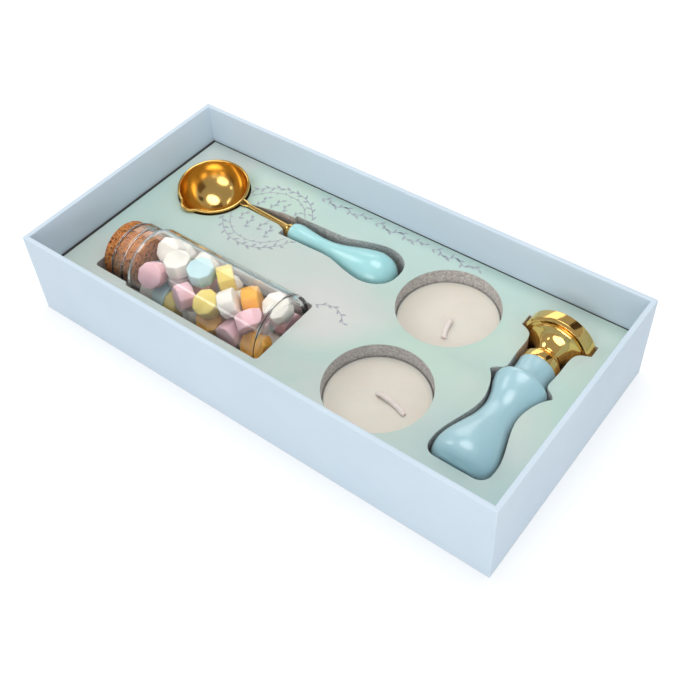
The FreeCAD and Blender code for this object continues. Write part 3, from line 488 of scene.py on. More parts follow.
def sprigTree(leaf):
    inputs = [
        ("Geometry", "Geometry"), ("Spacing", "Float"), ("Leaf Length", "Float"), ("Leaf Width", "Float"),
        ("Line Width", "Float", sprigLook["line"] * mm), ("Seed", "Int", sprigLook["seed"]),
        ("Ink", "Material", sprigInk)]
    tree, start, end = newGroup("sprigPrint", inputs, [("Geometry", "Geometry")], "GeometryNodeTree")
    points = put(tree, "GeometryNodeCurveToPoints", {
        "Curve": start["Geometry"], "Length": start["Spacing"]}, mode="LENGTH")
    index = put(tree, "GeometryNodeInputIndex").outputs[0]
    lean, jitter = sprigLook["lean"], sprigLook["jitter"]
    side = remap(tree, calc(tree, "MODULO", index, 2.0), after=(-lean, lean))
    wild = put(tree, "FunctionNodeRandomValue", {
        "Min": (0.0, 0.0, -jitter), "Max": (0.0, 0.0, jitter), "Seed": start["Seed"]},
        data_type="FLOAT_VECTOR")
    turn = calcVector(tree, "ADD", combined(tree, Z=side), wild.outputs[0])
    along = put(tree, "FunctionNodeAlignRotationToVector", {"Vector": points.outputs["Tangent"]}, axis="X")
    spin = put(tree, "FunctionNodeRotateRotation", {"Rotation": along.outputs[0]}, rotation_space="LOCAL")
    tree.links.new(turn, spin.inputs["Rotate By"])
    size = combined(tree, X=start["Leaf Length"], Y=start["Leaf Width"], Z=1.0)
    shape = put(tree, "GeometryNodeObjectInfo", {"Object": leaf}).outputs["Geometry"]
    leaves = put(tree, "GeometryNodeInstanceOnPoints", {
        "Points": points.outputs["Points"], "Instance": shape, "Rotation": spin.outputs[0], "Scale": size})
    ends = {label: combined(tree, X=calc(tree, "MULTIPLY", start["Line Width"], share))
            for label, share in (("Start", 0.5), ("End", -0.5))}
    profile = put(tree, "GeometryNodeCurvePrimitiveLine", ends).outputs[0]
    stem = put(tree, "GeometryNodeCurveToMesh", {"Curve": start["Geometry"], "Profile Curve": profile})
    whole = tree.nodes.new("GeometryNodeJoinGeometry")
    tree.links.new(stem.outputs[0], whole.inputs[0])
    tree.links.new(leaves.outputs[0], whole.inputs[0])
    real = put(tree, "GeometryNodeRealizeInstances", {0: whole.outputs[0]})
    inked = put(tree, "GeometryNodeSetMaterial", {"Geometry": real.outputs[0], "Material": start["Ink"]})
    tree.links.new(inked.outputs[0], end[0])
    return tree


def onCard(point):
    hit = cardTree.ray_cast(point, Vector((0, 0, -1)), sprigLook["probe"] * mm)
    return hit[0] is not None and hit[1].z > sprigLook["level"]


def makeSprig(name, tree, points, spacing, leafLength, closed=False):
    z = nodeBox("top_card")[1].z + sprigLook["lift"]
    curve = bpy.data.curves.new(name, "CURVE")
    curve.dimensions = "3D"
    line = curve.splines.new("BEZIER")
    line.bezier_points.add(len(points) - 1)
    for handle, (x, y) in zip(line.bezier_points, points):
        handle.co = Vector((x, y, z)) * mm
        handle.handle_left_type = handle.handle_right_type = "AUTO"
    line.use_cyclic_u = closed
    line.resolution_u = sprigLook["curveSteps"]
    curve.twist_mode = "Z_UP"
    obj = added(name + "Path", curve)
    maker = obj.modifiers.new("sprig", "NODES")
    maker.node_group = tree
    sockets = {item.name: item.identifier for item in tree.interface.items_tree if item.in_out == "INPUT"}
    maker[sockets["Spacing"]] = spacing * mm
    maker[sockets["Leaf Length"]] = leafLength * mm
    maker[sockets["Leaf Width"]] = leafLength * sprigLook["leafWidth"] * mm
    mesh = plainMesh(obj)
    bpy.data.objects.remove(obj)
    sprig = added(name, mesh)
    work = bmesh.new()
    work.from_mesh(mesh)
    for face in work.faces:
        face.normal_update()
        if face.normal.z < 0:
            face.normal_flip()
    off = [face for face in work.faces if any(not onCard(vert.co) for vert in face.verts)]
    bmesh.ops.delete(work, geom=off, context="FACES")  # nothing is printed over a cavity
    work.to_mesh(mesh)
    work.free()
    dress(sprig, sprigInk, "box", "")


def makeSprigs():
    look = sprigLook
    leaf = leafShape()
    tree = sprigTree(leaf)
    middle = Vector(look["wreathAt"])
    for name, radius, spacing, leafLength in look["rings"]:
        ring = [middle + Vector((math.cos(a), math.sin(a))) * radius for a in circle(look["ringPoints"])]
        makeSprig(name, tree, ring, spacing, leafLength, closed=True)
    for i, (x, y, lean) in enumerate(look["stalks"]):
        foot = middle + Vector((x, y))
        line = [foot + Vector((lean * k * k * look["stalkBend"], k * look["stalkStep"]))
                for k in range(look["stalkPoints"])]
        makeSprig("stalkSprig%d" % i, tree, line, *look["stalkLeaves"])
    last = look["vinePoints"]
    for i, (start, end) in enumerate(look["vines"]):
        line = [(start + (end - start) * k / last,
                 look["vineY"] + look["vineWave"] * math.sin(look["vinePace"] * k))
                for k in range(last + 1)]
        makeSprig("vineSprig%d" % i, tree, line, *look["vineLeaves"])
    makeSprig("frontSprig", tree, look["front"], *look["frontLeaves"])
    bpy.data.objects.remove(leaf)


makeSprigs()
print("print done")


# tea lights

candleLook = {
    "wall": 0.3, "foot": 0.9, "innerFoot": 0.8, "lip": 0.14, "waxInset": 0.05, "waxFoot": 0.75,
    "waxEdge": 0.1, "waxDrop": 0.35, "meniscus": 0.25, "meniscusFrom": 0.94, "dish": 4.03, "dishDepth": 0.7,
    "rings": 40}

candleWax = finish("creamWax", {
    "tones": ((228, 222, 210), (222, 215, 202)), "clouds": 90.0, "cloudy": 0.7, "grain": 900.0, "bump": 0.12,
    "depth": 0.06, "rough": 0.42,
    "shader": {**waxy(0.35, (0.6, 0.4, 0.25), 0.004), "Specular IOR Level": 0.4}})
cottonWick = finish("waxedCotton", {
    "tones": ((236, 227, 221), (224, 211, 206)), "clouds": 700.0, "grain": 2200.0, "bump": 0.5, "depth": 0.1,
    "rough": 0.6, "shader": waxy(0.3, (0.5, 0.3, 0.2), 0.002)})
tinPlate = finish("tinPlate", {
    "tones": ((196, 196, 196), (176, 176, 178)), "clouds": 300.0, "rough": 0.3, "shader": {"Metallic": 1.0}})


def clearFinish(name, look):  # clear glass or plastic that lets lamps through
    material, tree = newFinish(name, look["shader"])
    colour, mask = mottled(tree, look)
    # painted shade: the colour darkens towards grazing angles, drawing the dark outlines that refraction
    # gives clear glass and plastic
    slope = put(tree, "ShaderNodeLayerWeight", {"Blend": 0.5}).outputs["Facing"]
    grazingShadeMask = calc(tree, "POWER", slope, look["edgeShadePower"])
    colour = blend(tree, grazingShadeMask, colour, tint(*look["edge"]))
    along = put(tree, "ShaderNodeSeparateXYZ", {0: objectPlace(tree)}).outputs["X"]
    for at, half, shade in look["shadeRings"]:  # painted shade: thick rings of the glass are drawn darker, in place of the shade that refraction gives them
        colour = blend(tree, calc(tree, "COMPARE", along, at * mm, half * mm), colour, tint(*shade))
    height = useGroup(tree, fineGrain, Scale=look["grain"]).outputs["Height"]
    cover(tree, colour, mask, look["rough"], height, look)
    path = put(tree, "ShaderNodeLightPath")
    through = put(tree, "ShaderNodeBsdfTransparent", {"Color": tint(*look["shade"])})
    mix = put(tree, "ShaderNodeMixShader", {
        0: path.outputs["Is Shadow Ray"], 1: tree.nodes["Principled BSDF"].outputs[0],
        2: through.outputs[0]})
    tree.links.new(mix.outputs[0], tree.nodes["Material Output"].inputs["Surface"])
    return material


cupPlastic = clearFinish("clearCup", {
    "tones": ((240, 236, 226), (234, 230, 220)), "clouds": 40.0, "cloudy": 0.5, "rough": (0.12, 0.192),
    # painted shade: the edge colour darkens the cup slightly at grazing angles
    "bump": 0.05, "grain": 300.0, "depth": 0.05, "shade": (240, 238, 234), "edge": (226, 222, 212),
    "edgeShadePower": 4.0, "shadeRings": (), "shader": {"Transmission Weight": 0.5, "IOR": 1.4}})


def makeCandle(side):
    look = candleLook
    body = "candle_" + side
    low, high, middle = nodeBox(body + "_cup")
    radius, height, wall = (high.x - low.x) / 2, high.z - low.z, look["wall"]
    place = facing((*middle[:2], low.z), (0, 0, 1))
    cup = turned(body + ".cup", rounded([
        (0, 0), (0, radius, look["foot"]), (height, radius, look["lip"]),
        (height, radius - wall, look["lip"]), (wall, radius - wall, look["innerFoot"]), (wall, 0)]), place)
    dress(cup, cupPlastic, body, body + "_cup", angle=50)
    waxRadius = radius - wall - look["waxInset"]
    base = wall + look["waxInset"]
    rows = rounded([
        (base, 0), (base, waxRadius, look["waxFoot"]),
        (height - look["waxInset"], waxRadius, look["waxEdge"])])
    for k in range(1, look["rings"] + 1):
        share = 1 - k / look["rings"]
        r = waxRadius * share
        climb = look["meniscus"] * max(0, (share - look["meniscusFrom"]) / (1 - look["meniscusFrom"])) ** 2
        bowl = look["dishDepth"] * math.exp(-(r / look["dish"]) ** 2)
        rows.append((height - look["waxDrop"] + climb - bowl, r))
    wax = turned(body + ".wax", rows, place)
    dress(wax, candleWax, body, body + "_wax", angle=50)
    makeWick(body, low.z + height - look["waxDrop"])


# the stem's points are measured from the wax, and three plied yarns make the wick
wickLook = {
    "stem": ((0.0, 0.0, -2.2), (0.1, 0.0, -1.0), (0.6, 0.0, -0.1), (1.7, 0.1, 0.45)), "half": 1.0,
    "flat": 0.85, "bend": 1.9, "steps": 16, "swayPace": 2.6, "wave": 0.1, "wavePace": 5, "ring": 20,
    "tip": 0.72, "yarns": 3, "ply": 0.07, "plyPace": 1.3, "fuzz": 0.12, "fuzzScale": 0.9,
    "candle_front": {"length": 13.6, "angle": -15.0, "sway": 0.7},
    "candle_back": {"length": 10.0, "angle": -70.0, "sway": -0.5}}


def makeWick(body, waxTop):
    look, own = wickLook, wickLook[body]
    x, y = nodeBox(body + "_sustainer")[2][:2]
    path = [Vector((0, 0, nodeBox(body + "_wick")[0].z))]
    path += [Vector((px, py, waxTop + pz)) for px, py, pz in look["stem"]]
    outX, outY, outZ = look["stem"][-1]
    for k in range(1, look["steps"] + 1):
        s = k / look["steps"]
        path.append(Vector((outX + (own["length"] - look["bend"]) * s,
            outY + own["sway"] * math.sin(look["swayPace"] * s),
            waxTop + outZ + look["wave"] * math.sin(look["wavePace"] * s))))
    turn = Matrix.Rotation(math.radians(own["angle"]), 3, "Z")
    path = [turn @ p + Vector((x, y, 0)) for p in path]
    last = len(path) - 1
    side = (turn @ Vector((0, 1, 0))).normalized()
    sections = []
    for i, p in enumerate(path):
        ahead = (path[min(i + 1, last)] - path[max(i - 1, 0)]).normalized()
        up = ahead.cross(side).normalized()
        taper = 1 if 0 < i < last else look["tip"]
        ring = []
        for a in circle(look["ring"]):
            twist = 1 + look["ply"] * math.cos(look["yarns"] * a + i * look["plyPace"])
            soft = 1 + look["fuzz"] * noise.noise(p * look["fuzzScale"] + Vector((a, 0, 0)))
            reach = look["half"] * twist * soft * taper
            ring.append((p + side * math.cos(a) * reach + up * math.sin(a) * reach * look["flat"]) * mm)
        sections.append(ring)
    wick = skinned(body + ".wick", sections, capped=True)
    dress(wick, cottonWick, body, body + "_wick", angle=60)


for side in ("front", "back"):
    makeCandle(side)
    paint("candle_%s_sustainer" % side, tinPlate)
print("tea lights done")


# the bottle, its cork and the beads

bottleLook = {
    "wall": 1.2, "base": 1.6, "heel": 2.4, "push": 0.5, "pushEdge": (0.9, 0.3), "footEdge": (0.3, 0.2),
    "neckStep": 2.8, "neckLength": 9.0, "shoulder": 2.8, "shoulderBend": (1.26, 0.7), "straightEnd": 1,
    "lipStand": 0.55, "lipWidth": 1.4, "lipPower": 0.7, "ridgeFromMouth": 5.0, "mouthBack": 0.25}

footAt = nodeBox("bottle_glass")[1].x
bottleGlass = clearFinish("clearGlass", {
    "tones": ((253, 254, 253), (250, 252, 250)), "clouds": 40.0, "cloudy": 0.5, "rough": (0.0, 0.0),
    # painted shade: the edge colour darkens the glass at grazing angles
    "bump": 0.03, "grain": 120.0, "depth": 0.05, "shade": (251, 252, 250), "edge": (150, 150, 144),
    # painted shade: a dark ring drawn at the bottle's heel
    "edgeShadePower": 4.0, "shadeRings": ((footAt - 0.8, 0.18, (84, 78, 72)),),
    "shader": {"Transmission Weight": 1.0, "IOR": 1.42, "Coat Weight": 0.8}})


def bulge(at, radius, steps=7):  # a rounded band that stands out of the neck
    rows = []
    width, stand = bottleLook["lipWidth"], bottleLook["lipStand"]
    for k in range(steps + 1):
        a = math.pi * k / steps
        rows.append((at - math.cos(a) * width / 2, radius + stand * math.sin(a) ** bottleLook["lipPower"]))
    return rows


def makeBottle():
    low, high, middle = nodeBox("bottle_glass")
    radius, length = (high.z - low.z) / 2, high.x - low.x
    look = bottleLook
    neck, wall, push = radius - look["neckStep"], look["wall"], look["push"]
    shoulderAt = length - look["neckLength"] - look["shoulder"]
    neckAt = shoulderAt + look["shoulder"]
    foot = radius - look["heel"]
    straight = shoulderAt - look["straightEnd"]
    dip, dipRound = look["pushEdge"]
    land, landRound = look["footEdge"]
    bendAt, bendIn = look["shoulderBend"]
    outside = rounded([
        (push, 0), (push, foot - dip, dipRound), (0, foot - land, landRound), (0, radius, look["heel"]),
        (straight, radius)], 10)
    outside += flowing([(shoulderAt, radius), (shoulderAt + bendAt, radius - bendIn), (neckAt, neck)], 6)
    outside += bulge(length - look["ridgeFromMouth"], neck)
    outside += bulge(length - look["lipWidth"] / 2, neck)
    inside = rounded([
        (look["base"], 0), (look["base"], radius - wall, look["heel"] - wall / 2),
        (straight, radius - wall)], 10)
    inside += flowing([
        (shoulderAt, radius - wall), (shoulderAt + bendAt, radius - wall - bendIn), (neckAt, neck - wall)],
        6)
    inside.append((length - look["mouthBack"], neck - wall))
    glass = turned("bottleGlass", outside + inside[::-1], facing((high.x, *middle[1:]), (-1, 0, 0)),
        steps=128)
    dress(glass, bottleGlass, "bottle", "bottle_glass", angle=50)


makeBottle()

corkLook = {
    "tones": ((212, 144, 90), (156, 92, 50)), "clouds": 620.0, "cloudy": 0.9, "cells": 1500.0,
    "cellTone": 0.14, "vivid": 1.04, "pitStretch": (0.75, 1.0, 1.0), "pitScale": 1350.0, "pitDetail": 3.0,
    "pitEdges": (0.55, 0.62), "pit": (74, 40, 22), "bump": 0.8, "depth": 0.22, "rough": (0.72, 0.88),
    "shader": {"Specular IOR Level": 0.25}, "bevel": 0.7, "stand": 0.4, "fit": 0.08, "taper": 0.35,
    "corners": (0.3, 0.05, 0.15, 0.4), "seat": 0.06, "row": 0.45, "crumb": 0.16,
    "crumbScales": (900, 2300), "crumbFrom": 0.05, "edgeCrumb": 3.0, "edgeWidth": 0.9,
    "topWidth": 1.0, "topCrumb": 1.5}


def corkFinish():
    look = corkLook
    material, tree = newFinish("cork", look["shader"])
    place = objectPlace(tree)
    colour, mask = mottled(tree, look)
    cells = put(tree, "ShaderNodeTexVoronoi", {"Vector": place, "Scale": look["cells"], "Randomness": 1.0})
    tone = blend(tree, look["cellTone"], colour, cells.outputs["Color"], blend_type="OVERLAY")
    vivid = put(tree, "ShaderNodeHueSaturation", {"Saturation": look["vivid"], "Color": tone}).outputs[0]
    long = calcVector(tree, "MULTIPLY", place, look["pitStretch"])
    pits = remap(tree, noisy(tree, long, look["pitScale"], look["pitDetail"]), look["pitEdges"])
    dark = blend(tree, pits, vivid, tint(*look["pit"]))
    height = calc(tree, "SUBTRACT", cells.outputs["Distance"], pits)
    cover(tree, dark, mask, look["rough"], height, look)
    return material


def makeCork():
    look = corkLook
    low, high, middle = nodeBox("bottle_cork")
    y, z = middle[1:]
    head = (high.z - low.z) / 2
    mouth = nodeBox("bottle_glass")[0].x
    out, inner = mouth - low.x, high.x - mouth
    fit = head + look["stand"] - bottleLook["wall"] - look["fit"]
    bevel, seat = look["bevel"], look["seat"]
    tip, step, brim, crown = look["corners"]
    points = [
        (-inner, 0), (-inner, fit - look["taper"], tip), (seat, fit, step), (seat, head, brim),
        (out - bevel, head, crown), (out, head - bevel, crown), (out, 0)]
    rows = []
    for a, b in zip(rounded(points), rounded(points)[1:]):
        count = max(1, round(math.dist(a, b) / look["row"]))
        rows += [tuple(Vector(a).lerp(Vector(b), k / count)) for k in range(count)]
    rows.append(points[-1][:2])
    cork = turned("cork", rows, facing((mouth, y, z), (-1, 0, 0)), steps=160)
    axis = Vector((0, y, z)) * mm
    coarse, fine = look["crumbScales"]
    for vert in cork.data.vertices:  # crumbs are missing here and there, mostly at the edges
        outward = Vector((0, vert.co.y - axis.y, vert.co.z - axis.z))
        chip = noise.noise(vert.co * coarse) * 0.5 + noise.noise(vert.co * fine) * 0.5
        atEdge = outward.length > (head - look["edgeWidth"]) * mm and vert.co.x < mouth * mm
        worn = 1 + look["edgeCrumb"] * atEdge
        if outward.length > 1e-6:
            vert.co -= outward.normalized() * max(0, chip - look["crumbFrom"]) * look["crumb"] * worn * mm
        if vert.co.x < (mouth - out + look["topWidth"]) * mm:
            vert.co.x += max(0, chip) * look["crumb"] * look["topCrumb"] * mm
    dress(cork, corkFinish(), "cork", "bottle_cork", angle=40)


makeCork()

beadLook = {
    "bevel": 0.6, "segments": 3, "angle": 30, "clouds": 220.0, "cloudy": 0.8, "grain": 1200.0, "bump": 0.15,
    "depth": 0.06, "rough": 0.38, "shader": waxy(0.45, (0.7, 0.6, 0.5), 0.003)}
beadColours = {
    "white": ((236, 231, 225), (228, 222, 214)), "pink": ((247, 203, 212), (241, 190, 201)),
    "blue": ((190, 217, 224), (178, 208, 216)), "yellow": ((238, 214, 126), (224, 200, 96)),
    "amber": ((246, 180, 62), (234, 160, 38)), "mauve": ((224, 210, 210), (212, 198, 198))}


def makeBeads():
    for colour, tones in beadColours.items():
        material = finish("beadWax." + colour, {**beadLook, "tones": tones})
        beads = cadCopy("beads_" + colour, "beads." + colour)
        softened(beads, beadLook["bevel"], beadLook["segments"], beadLook["angle"])
        dress(beads, material, "bottle", "beads_" + colour, angle=60)


makeBeads()
print("bottle done")


# polished gold

goldLook = {"clouds": 70.0, "cloudy": 0.6, "bump": 0.05, "depth": 0.03, "shader": {"Metallic": 1.0}}
gold = finish("polishedGold", {
    **goldLook, "tones": ((248, 208, 128), (244, 199, 114)), "grain": 500.0, "rough": 0.0945,
    "spread": 0.0245})
satinGold = finish("satinGold", {
    **goldLook, "tones": ((240, 198, 118), (234, 186, 100)), "grain": 900.0, "rough": 0.1755,
    "spread": 0.0455})


def lacquer(name, *tones):
    return finish(name, {
        "tones": tones, "clouds": 45.0, "grain": 420.0, "bump": 0.02, "rough": 0.3, "spread": 0.012,
        "shader": {"Coat Weight": 0.8, "Coat Roughness": 0.15, "Specular IOR Level": 0.5,
                   **waxy(0.3, (1.0, 1.0, 1.0), 0.004)}})


# the melting spoon, in mm from the middle of its rim, with X along the handle

spoonLook = {
    "centre": (-74.8, 22.9, 22.1), "turn": (1.8, 5.4, 5.4), "radius": 14.4, "depth": 12.8, "wall": 0.9,
    "bead": 0.5, "beadFlat": 0.9, "beadSteps": 10, "steps": 36, "around": 240, "spoutAt": -97.0,
    "spoutHalf": 17.0, "spoutReach": 1.9, "spoutPower": 1.8, "spoutDepth": 4.5}
shankLook = {
    "start": 0.1, "sink": 0.35, "level": 1.5, "steps": 40, "flatFrom": 0.04, "flatRun": 0.13,
    "rod": (0.55, 1.9), "tab": (1.6, 0.35), "tabSquare": 0.75, "tabShape": 1.5, "ring": 28, "end": 39.0,
    "drop": 2.2, "rise": 1.7, "tang": 16.0, "tangRadius": 1.2, "tangFrom": 0.02, "tangShort": 0.1,
    "clear": 0.04}
handleStations = [
    (0.0, 2.9), (0.9, 3.7), (3.5, 4.1), (8.0, 3.75), (13.0, 3.35), (18.0, 3.55), (23.0, 4.5), (28.5, 6.1),
    (34.0, 7.6), (39.0, 8.3), (43.5, 7.2), (46.6, 4.2), (47.6, 0.0)]
ferrulePoints = [(-1.8, 1.96), (-1.8, 2.5, 0.3), (-1.3, 2.7, 0.3), (-0.05, 2.7, 0.1), (-0.05, 1.96)]
spoonTurn = Matrix.Identity(4)
for axis, angle in zip("ZYX", spoonLook["turn"]):  # yaw, pitch and roll
    spoonTurn = spoonTurn @ Matrix.Rotation(math.radians(angle), 4, axis)
spoonPlace = Matrix.Translation(Vector(spoonLook["centre"]) * mm) @ spoonTurn


def bowlSection():
    look = spoonLook
    radius, depth, wall, bead = look["radius"], look["depth"], look["wall"], look["bead"]
    steps, beadSteps = look["steps"], look["beadSteps"]
    ball = ((radius - wall) ** 2 + depth ** 2) / (2 * depth)
    middle = ball - depth
    rows = []
    last = math.acos(middle / (ball + wall))
    for k in range(steps + 1):
        a = last * k / steps
        rows.append(((ball + wall) * math.sin(a), middle - (ball + wall) * math.cos(a)))
    for k in range(beadSteps + 1):
        a = math.pi * k / beadSteps
        rows.append((radius - wall / 2 + bead * math.cos(a), bead * math.sin(a) * look["beadFlat"]))
    last = math.acos(middle / ball)
    for k in range(steps + 1):
        a = last * (1 - k / steps)
        rows.append((ball * math.sin(a), middle - ball * math.cos(a)))
    return rows


def makeBowl():
    look = spoonLook
    sections = []
    for r, z in bowlSection():
        if r < pole:
            sections.append([spoonPlace @ Vector((0, 0, z * mm))])
            continue
        lift = eased(1 + z / look["spoutDepth"])
        ring = []
        for a in circle(look["around"]):
            off = abs((math.degrees(a) - look["spoutAt"] + 180) % 360 - 180) / look["spoutHalf"]
            lip = look["spoutReach"] * max(0, 1 - off ** look["spoutPower"]) * lift
            ring.append(spoonPlace @ Vector((
                (r + lip) * math.cos(a) * mm, (r + lip) * math.sin(a) * mm, z * mm)))
        sections.append(ring)
    bowl = skinned("spoonBowl", sections)
    dress(bowl, satinGold, "spoon", "spoon_bowl", angle=60)


def makeShank():
    look = shankLook
    start, end, level = spoonLook["radius"] + look["start"], look["end"], look["level"]
    thin, thick = look["rod"]
    tabWide, tabHigh = look["tab"]
    stations = []
    for k in range(look["steps"] + 1):
        s = k / look["steps"]
        x = start + (end - start) * s
        fall = max(0, (x - start - level) / (end - start - level))
        flat = eased(1 - (s - look["flatFrom"]) / look["flatRun"])
        rod = thin + (thick - thin) * s
        stations.append((x, -look["sink"] + (look["sink"] - look["drop"]) * fall,
            rod + (tabWide - rod) * flat, rod + (tabHigh - rod) * flat))
    rise = math.atan2(look["rise"], handleStations[-1][0])
    tang, tangRadius = look["tang"], look["tangRadius"]
    stations.append((end + look["tangFrom"], -look["drop"], tangRadius, tangRadius))
    stations.append((end + tang - look["tangShort"], -look["drop"] + math.sin(rise) * tang, tangRadius,
        tangRadius))
    sections = []
    for x, z, wide, high in stations:
        power = look["tabSquare"] if wide > look["tabShape"] * high else 1.0
        ring = []
        for a in circle(look["ring"]):
            cs, sn = math.cos(a), math.sin(a)
            ring.append(spoonPlace @ (Vector((x, wide * math.copysign(abs(cs) ** power, cs),
                z + high * math.copysign(abs(sn) ** power, sn))) * mm))
        sections.append(ring)
    shank = skinned("spoonShank", sections, capped=True)
    dress(shank, gold, "spoon", "spoon_shank", angle=40)


def makeSpoonHandle():
    look = shankLook
    direction = Vector((handleStations[-1][0], 0, look["rise"])).normalized()
    place = spoonPlace @ facing((look["end"], 0, -look["drop"]), direction)
    hole, bore = look["tang"] + look["clear"], look["tangRadius"] + look["clear"]
    rows = [(hole, 0), (hole, bore), (0, bore)] + flowing(handleStations, closeTip=True)
    handle = turned("spoonHandle", rows, place)
    dress(handle, lacquer("turquoiseLacquer", (170, 224, 226), (163, 218, 221)), "spoon",
        "spoon_handle", angle=50)
    ring = turned("spoonFerrule", rounded(ferrulePoints), place, steps=72, closed=True)
    dress(ring, gold, "spoon", "spoon_ferrule", angle=40)


makeBowl()
makeShank()
makeSpoonHandle()
print("spoon done")


# the stamp, in mm: its stations are (along, radius, corner) from the end of the handle or head

stampLook = {
    "dome": 0.3, "domeRadius": 7.0, "domeRings": (0, 2, 4, 5.5, 6.5), "studRadius": 3.0, "studInWood": 15.0,
    "headRadius": 13.0, "headLength": 17.0, "rim": 4.4, "rimEdge": (0.25, 0.15), "studClear": 0.05,
    "engrave": 0.5, "petals": 8, "petalHalf": 1.4, "petalFrom": 2.0, "petalLength": 6.0, "petalSteps": 16,
    "petalPower": 0.9}
stampLower = [
    (0.0, 7.0), (0.9, 8.8), (2.6, 10.3), (5.9, 11.0), (10.0, 10.5), (16.0, 8.7), (21.5, 7.0), (27.4, 6.3),
    (32.3, 7.2), (36.7, 9.0), (39.6, 9.9)]
stampUpper = [(39.6, 9.9), (41.1, 9.6), (42.1, 8.4), (43.0, 7.2), (46.0, 6.75), (50.9, 7.1)]
headNeck = [
    (0.05, 7.2, 0.25), (3.2, 7.2, 0.3), (3.2, 5.6, 0.1), (3.45, 4.9, 0.1), (4.5, 4.9, 0.1),
    (4.85, 5.55, 0.2), (5.2, 5.7, 0.2), (5.55, 5.55, 0.2), (5.9, 4.9, 0.1)]
headCone = [(6.3, 4.9), (6.9, 4.97), (8.62, 6.0), (10.3, 7.86)]
backSteps = [(1.1, 10.0), (0.85, 10.38, 0.1), (0.3, 10.5, 0.1), (0.3, 11.65, 0.1), (0.6, 11.9, 0.1),
             (0.6, 12.3, 0.15)]  # measured back from the rim
boreDepth, faceRing, faceDot = 9.4, (1.9, 2.5), 1.2


def stampBase():
    low, _, middle = nodeBox("stamp_handle")
    return middle[0], low.y + stampLook["dome"], middle[2]


def makeStampHandle():
    look = stampLook
    dome = [(-look["dome"] * (1 - (r / look["domeRadius"]) ** 2), r) for r in look["domeRings"]]
    rows = dome + flowing(stampLower)[:-1] + flowing(stampUpper)
    end, stud, hole = stampUpper[-1][0], look["studRadius"], look["studInWood"]
    rows += [(end, stud), (end - hole, stud), (end - hole, 0)]
    handle = turned("stampHandle", rows, facing(stampBase(), (0, 1, 0)), steps=128)
    dress(handle, lacquer("paleBlueLacquer", (173, 210, 219), (166, 204, 214)), "stamp",
        "stamp_handle", angle=50)


def petalCutter(place, reach):
    look = stampLook
    outline = []
    count, depth = look["petalSteps"], look["engrave"]
    for side in (1, -1):
        for k in range(count):
            t = k / count if side > 0 else 1 - k / count
            outline.append((look["petalFrom"] + look["petalLength"] * t,
                side * look["petalHalf"] * math.sin(math.pi * t) ** look["petalPower"]))
    verts, faces = [], []
    total = len(outline)
    for angle in circle(look["petals"]):
        turn = Matrix.Rotation(angle, 4, "Z")
        base = len(verts)
        for z in (reach - depth, reach + depth):
            verts += [place @ turn @ (Vector((px, py, z)) * mm) for px, py in outline]
        faces.append(tuple(range(base + total - 1, base - 1, -1)))
        faces.append(tuple(range(base + total, base + 2 * total)))
        for k in range(total):
            n = (k + 1) % total
            faces.append((base + k, base + n, base + total + n, base + total + k))
    return tidied(newObject("petalCutter", verts, faces))


def makeStampHead():
    look = stampLook
    x, y, z = stampBase()
    place = facing((x, y + stampUpper[-1][0], z), (0, 1, 0))
    r, back, end = look["headRadius"], look["headLength"] - look["rim"], look["headLength"]
    bore, deep = look["studRadius"] + look["studClear"], look["engrave"]
    edge, soft = look["rimEdge"]
    steps = [(back - point[0], *point[1:]) for point in backSteps]
    points = [(boreDepth, 0), (boreDepth, bore), (headNeck[0][0], bore)] + headNeck
    cone = flowing(headCone + steps[:1])
    rim = steps + [
        (back, r - edge, soft), (back + edge, r, soft), (end - edge, r, soft), (end, r - edge, soft),
        (end, r - faceRing[0]), (end - deep, r - faceRing[0]), (end - deep, r - faceRing[1]),
        (end, r - faceRing[1]), (end, faceDot), (end - deep, faceDot), (end - deep, 0)]
    head = turned("stampHead", rounded(points, 4) + cone + rounded(rim, 4)[1:], place, steps=144)
    cutter = petalCutter(place, end)
    cut = head.modifiers.new("petals", "BOOLEAN")
    cut.object = cutter
    cut.operation = "DIFFERENCE"
    cut.solver = "EXACT"
    baked(head)
    bpy.data.objects.remove(cutter)
    dress(head, gold, "stamp_head", "stamp_head", angle=28)


makeStampHandle()
makeStampHead()
steelRod = finish("steelStud", {
    "tones": ((186, 186, 186), (170, 170, 172)), "clouds": 300.0, "grain": 2500.0, "stretch": (1, 12, 1),
    "rough": 0.32, "shader": {"Metallic": 1.0}})
paint("stamp_stud", steelRod)
print("stamp done")


# floor, light and camera, in metres

stageLook = {
    "floorSize": 4.0, "floorDrop": 0.02, "floorGrey": (0.72, 0.73, 0.74, 1), "floorGlow": 0.34,
    "fade": (0.35, 0.8), "worldLight": 0.57, "cameraWhite": 1.0, "mirrorDark": 0.2, "cardRough": 0.9}
aim = (0, 0, 0)
lamps = (
    ("topSoftbox", (0.0, 0.15, 0.85), aim, 0.65, 0.5, 2.8),
    ("frontSoftbox", (0.1, -0.95, 0.5), aim, 0.8, 0.45, 2.35),
    ("leftSoftbox", (-0.8, -0.1, 0.6), aim, 0.4, 0.4, 1.1),
    ("rightSoftbox", (1.0, -0.35, 0.07), aim, 0.9, 0.12, 2.0),
    ("frontStrip", (0.35, -0.85, 0.24), aim, 0.8, 0.1, 0.8),
    ("bottleStreak", (-0.49, -0.652, 0.474), (-0.015, -0.03, 0.03), 0.17, 0.1, 0.09))
cards = (
    ("darkCardBack", (0.4, 0.69, 0.69), 0.26, 0.42, (0.05, 0.035, 0.025), 0.0),
    ("brightCardBack", (-0.54, 0.77, 0.47), 0.6, 0.75, (1.0, 0.98, 0.94), 0.95),
    ("darkCardRight", (0.95, 0.25, 0.5), 0.7, 0.6, (0.12, 0.08, 0.05), 0.0),
    ("darkCardTop", (-0.45, 0.35, 0.9), 0.5, 0.6, (0.14, 0.1, 0.06), 0.0))
cameraLook = {
    "sensor": 36.0, "lens": 52.714, "clip": 0.01, "place": (0.16475, -0.18749, 0.27266),
    "turn": (42.1922, 2.731, 37.4152)}


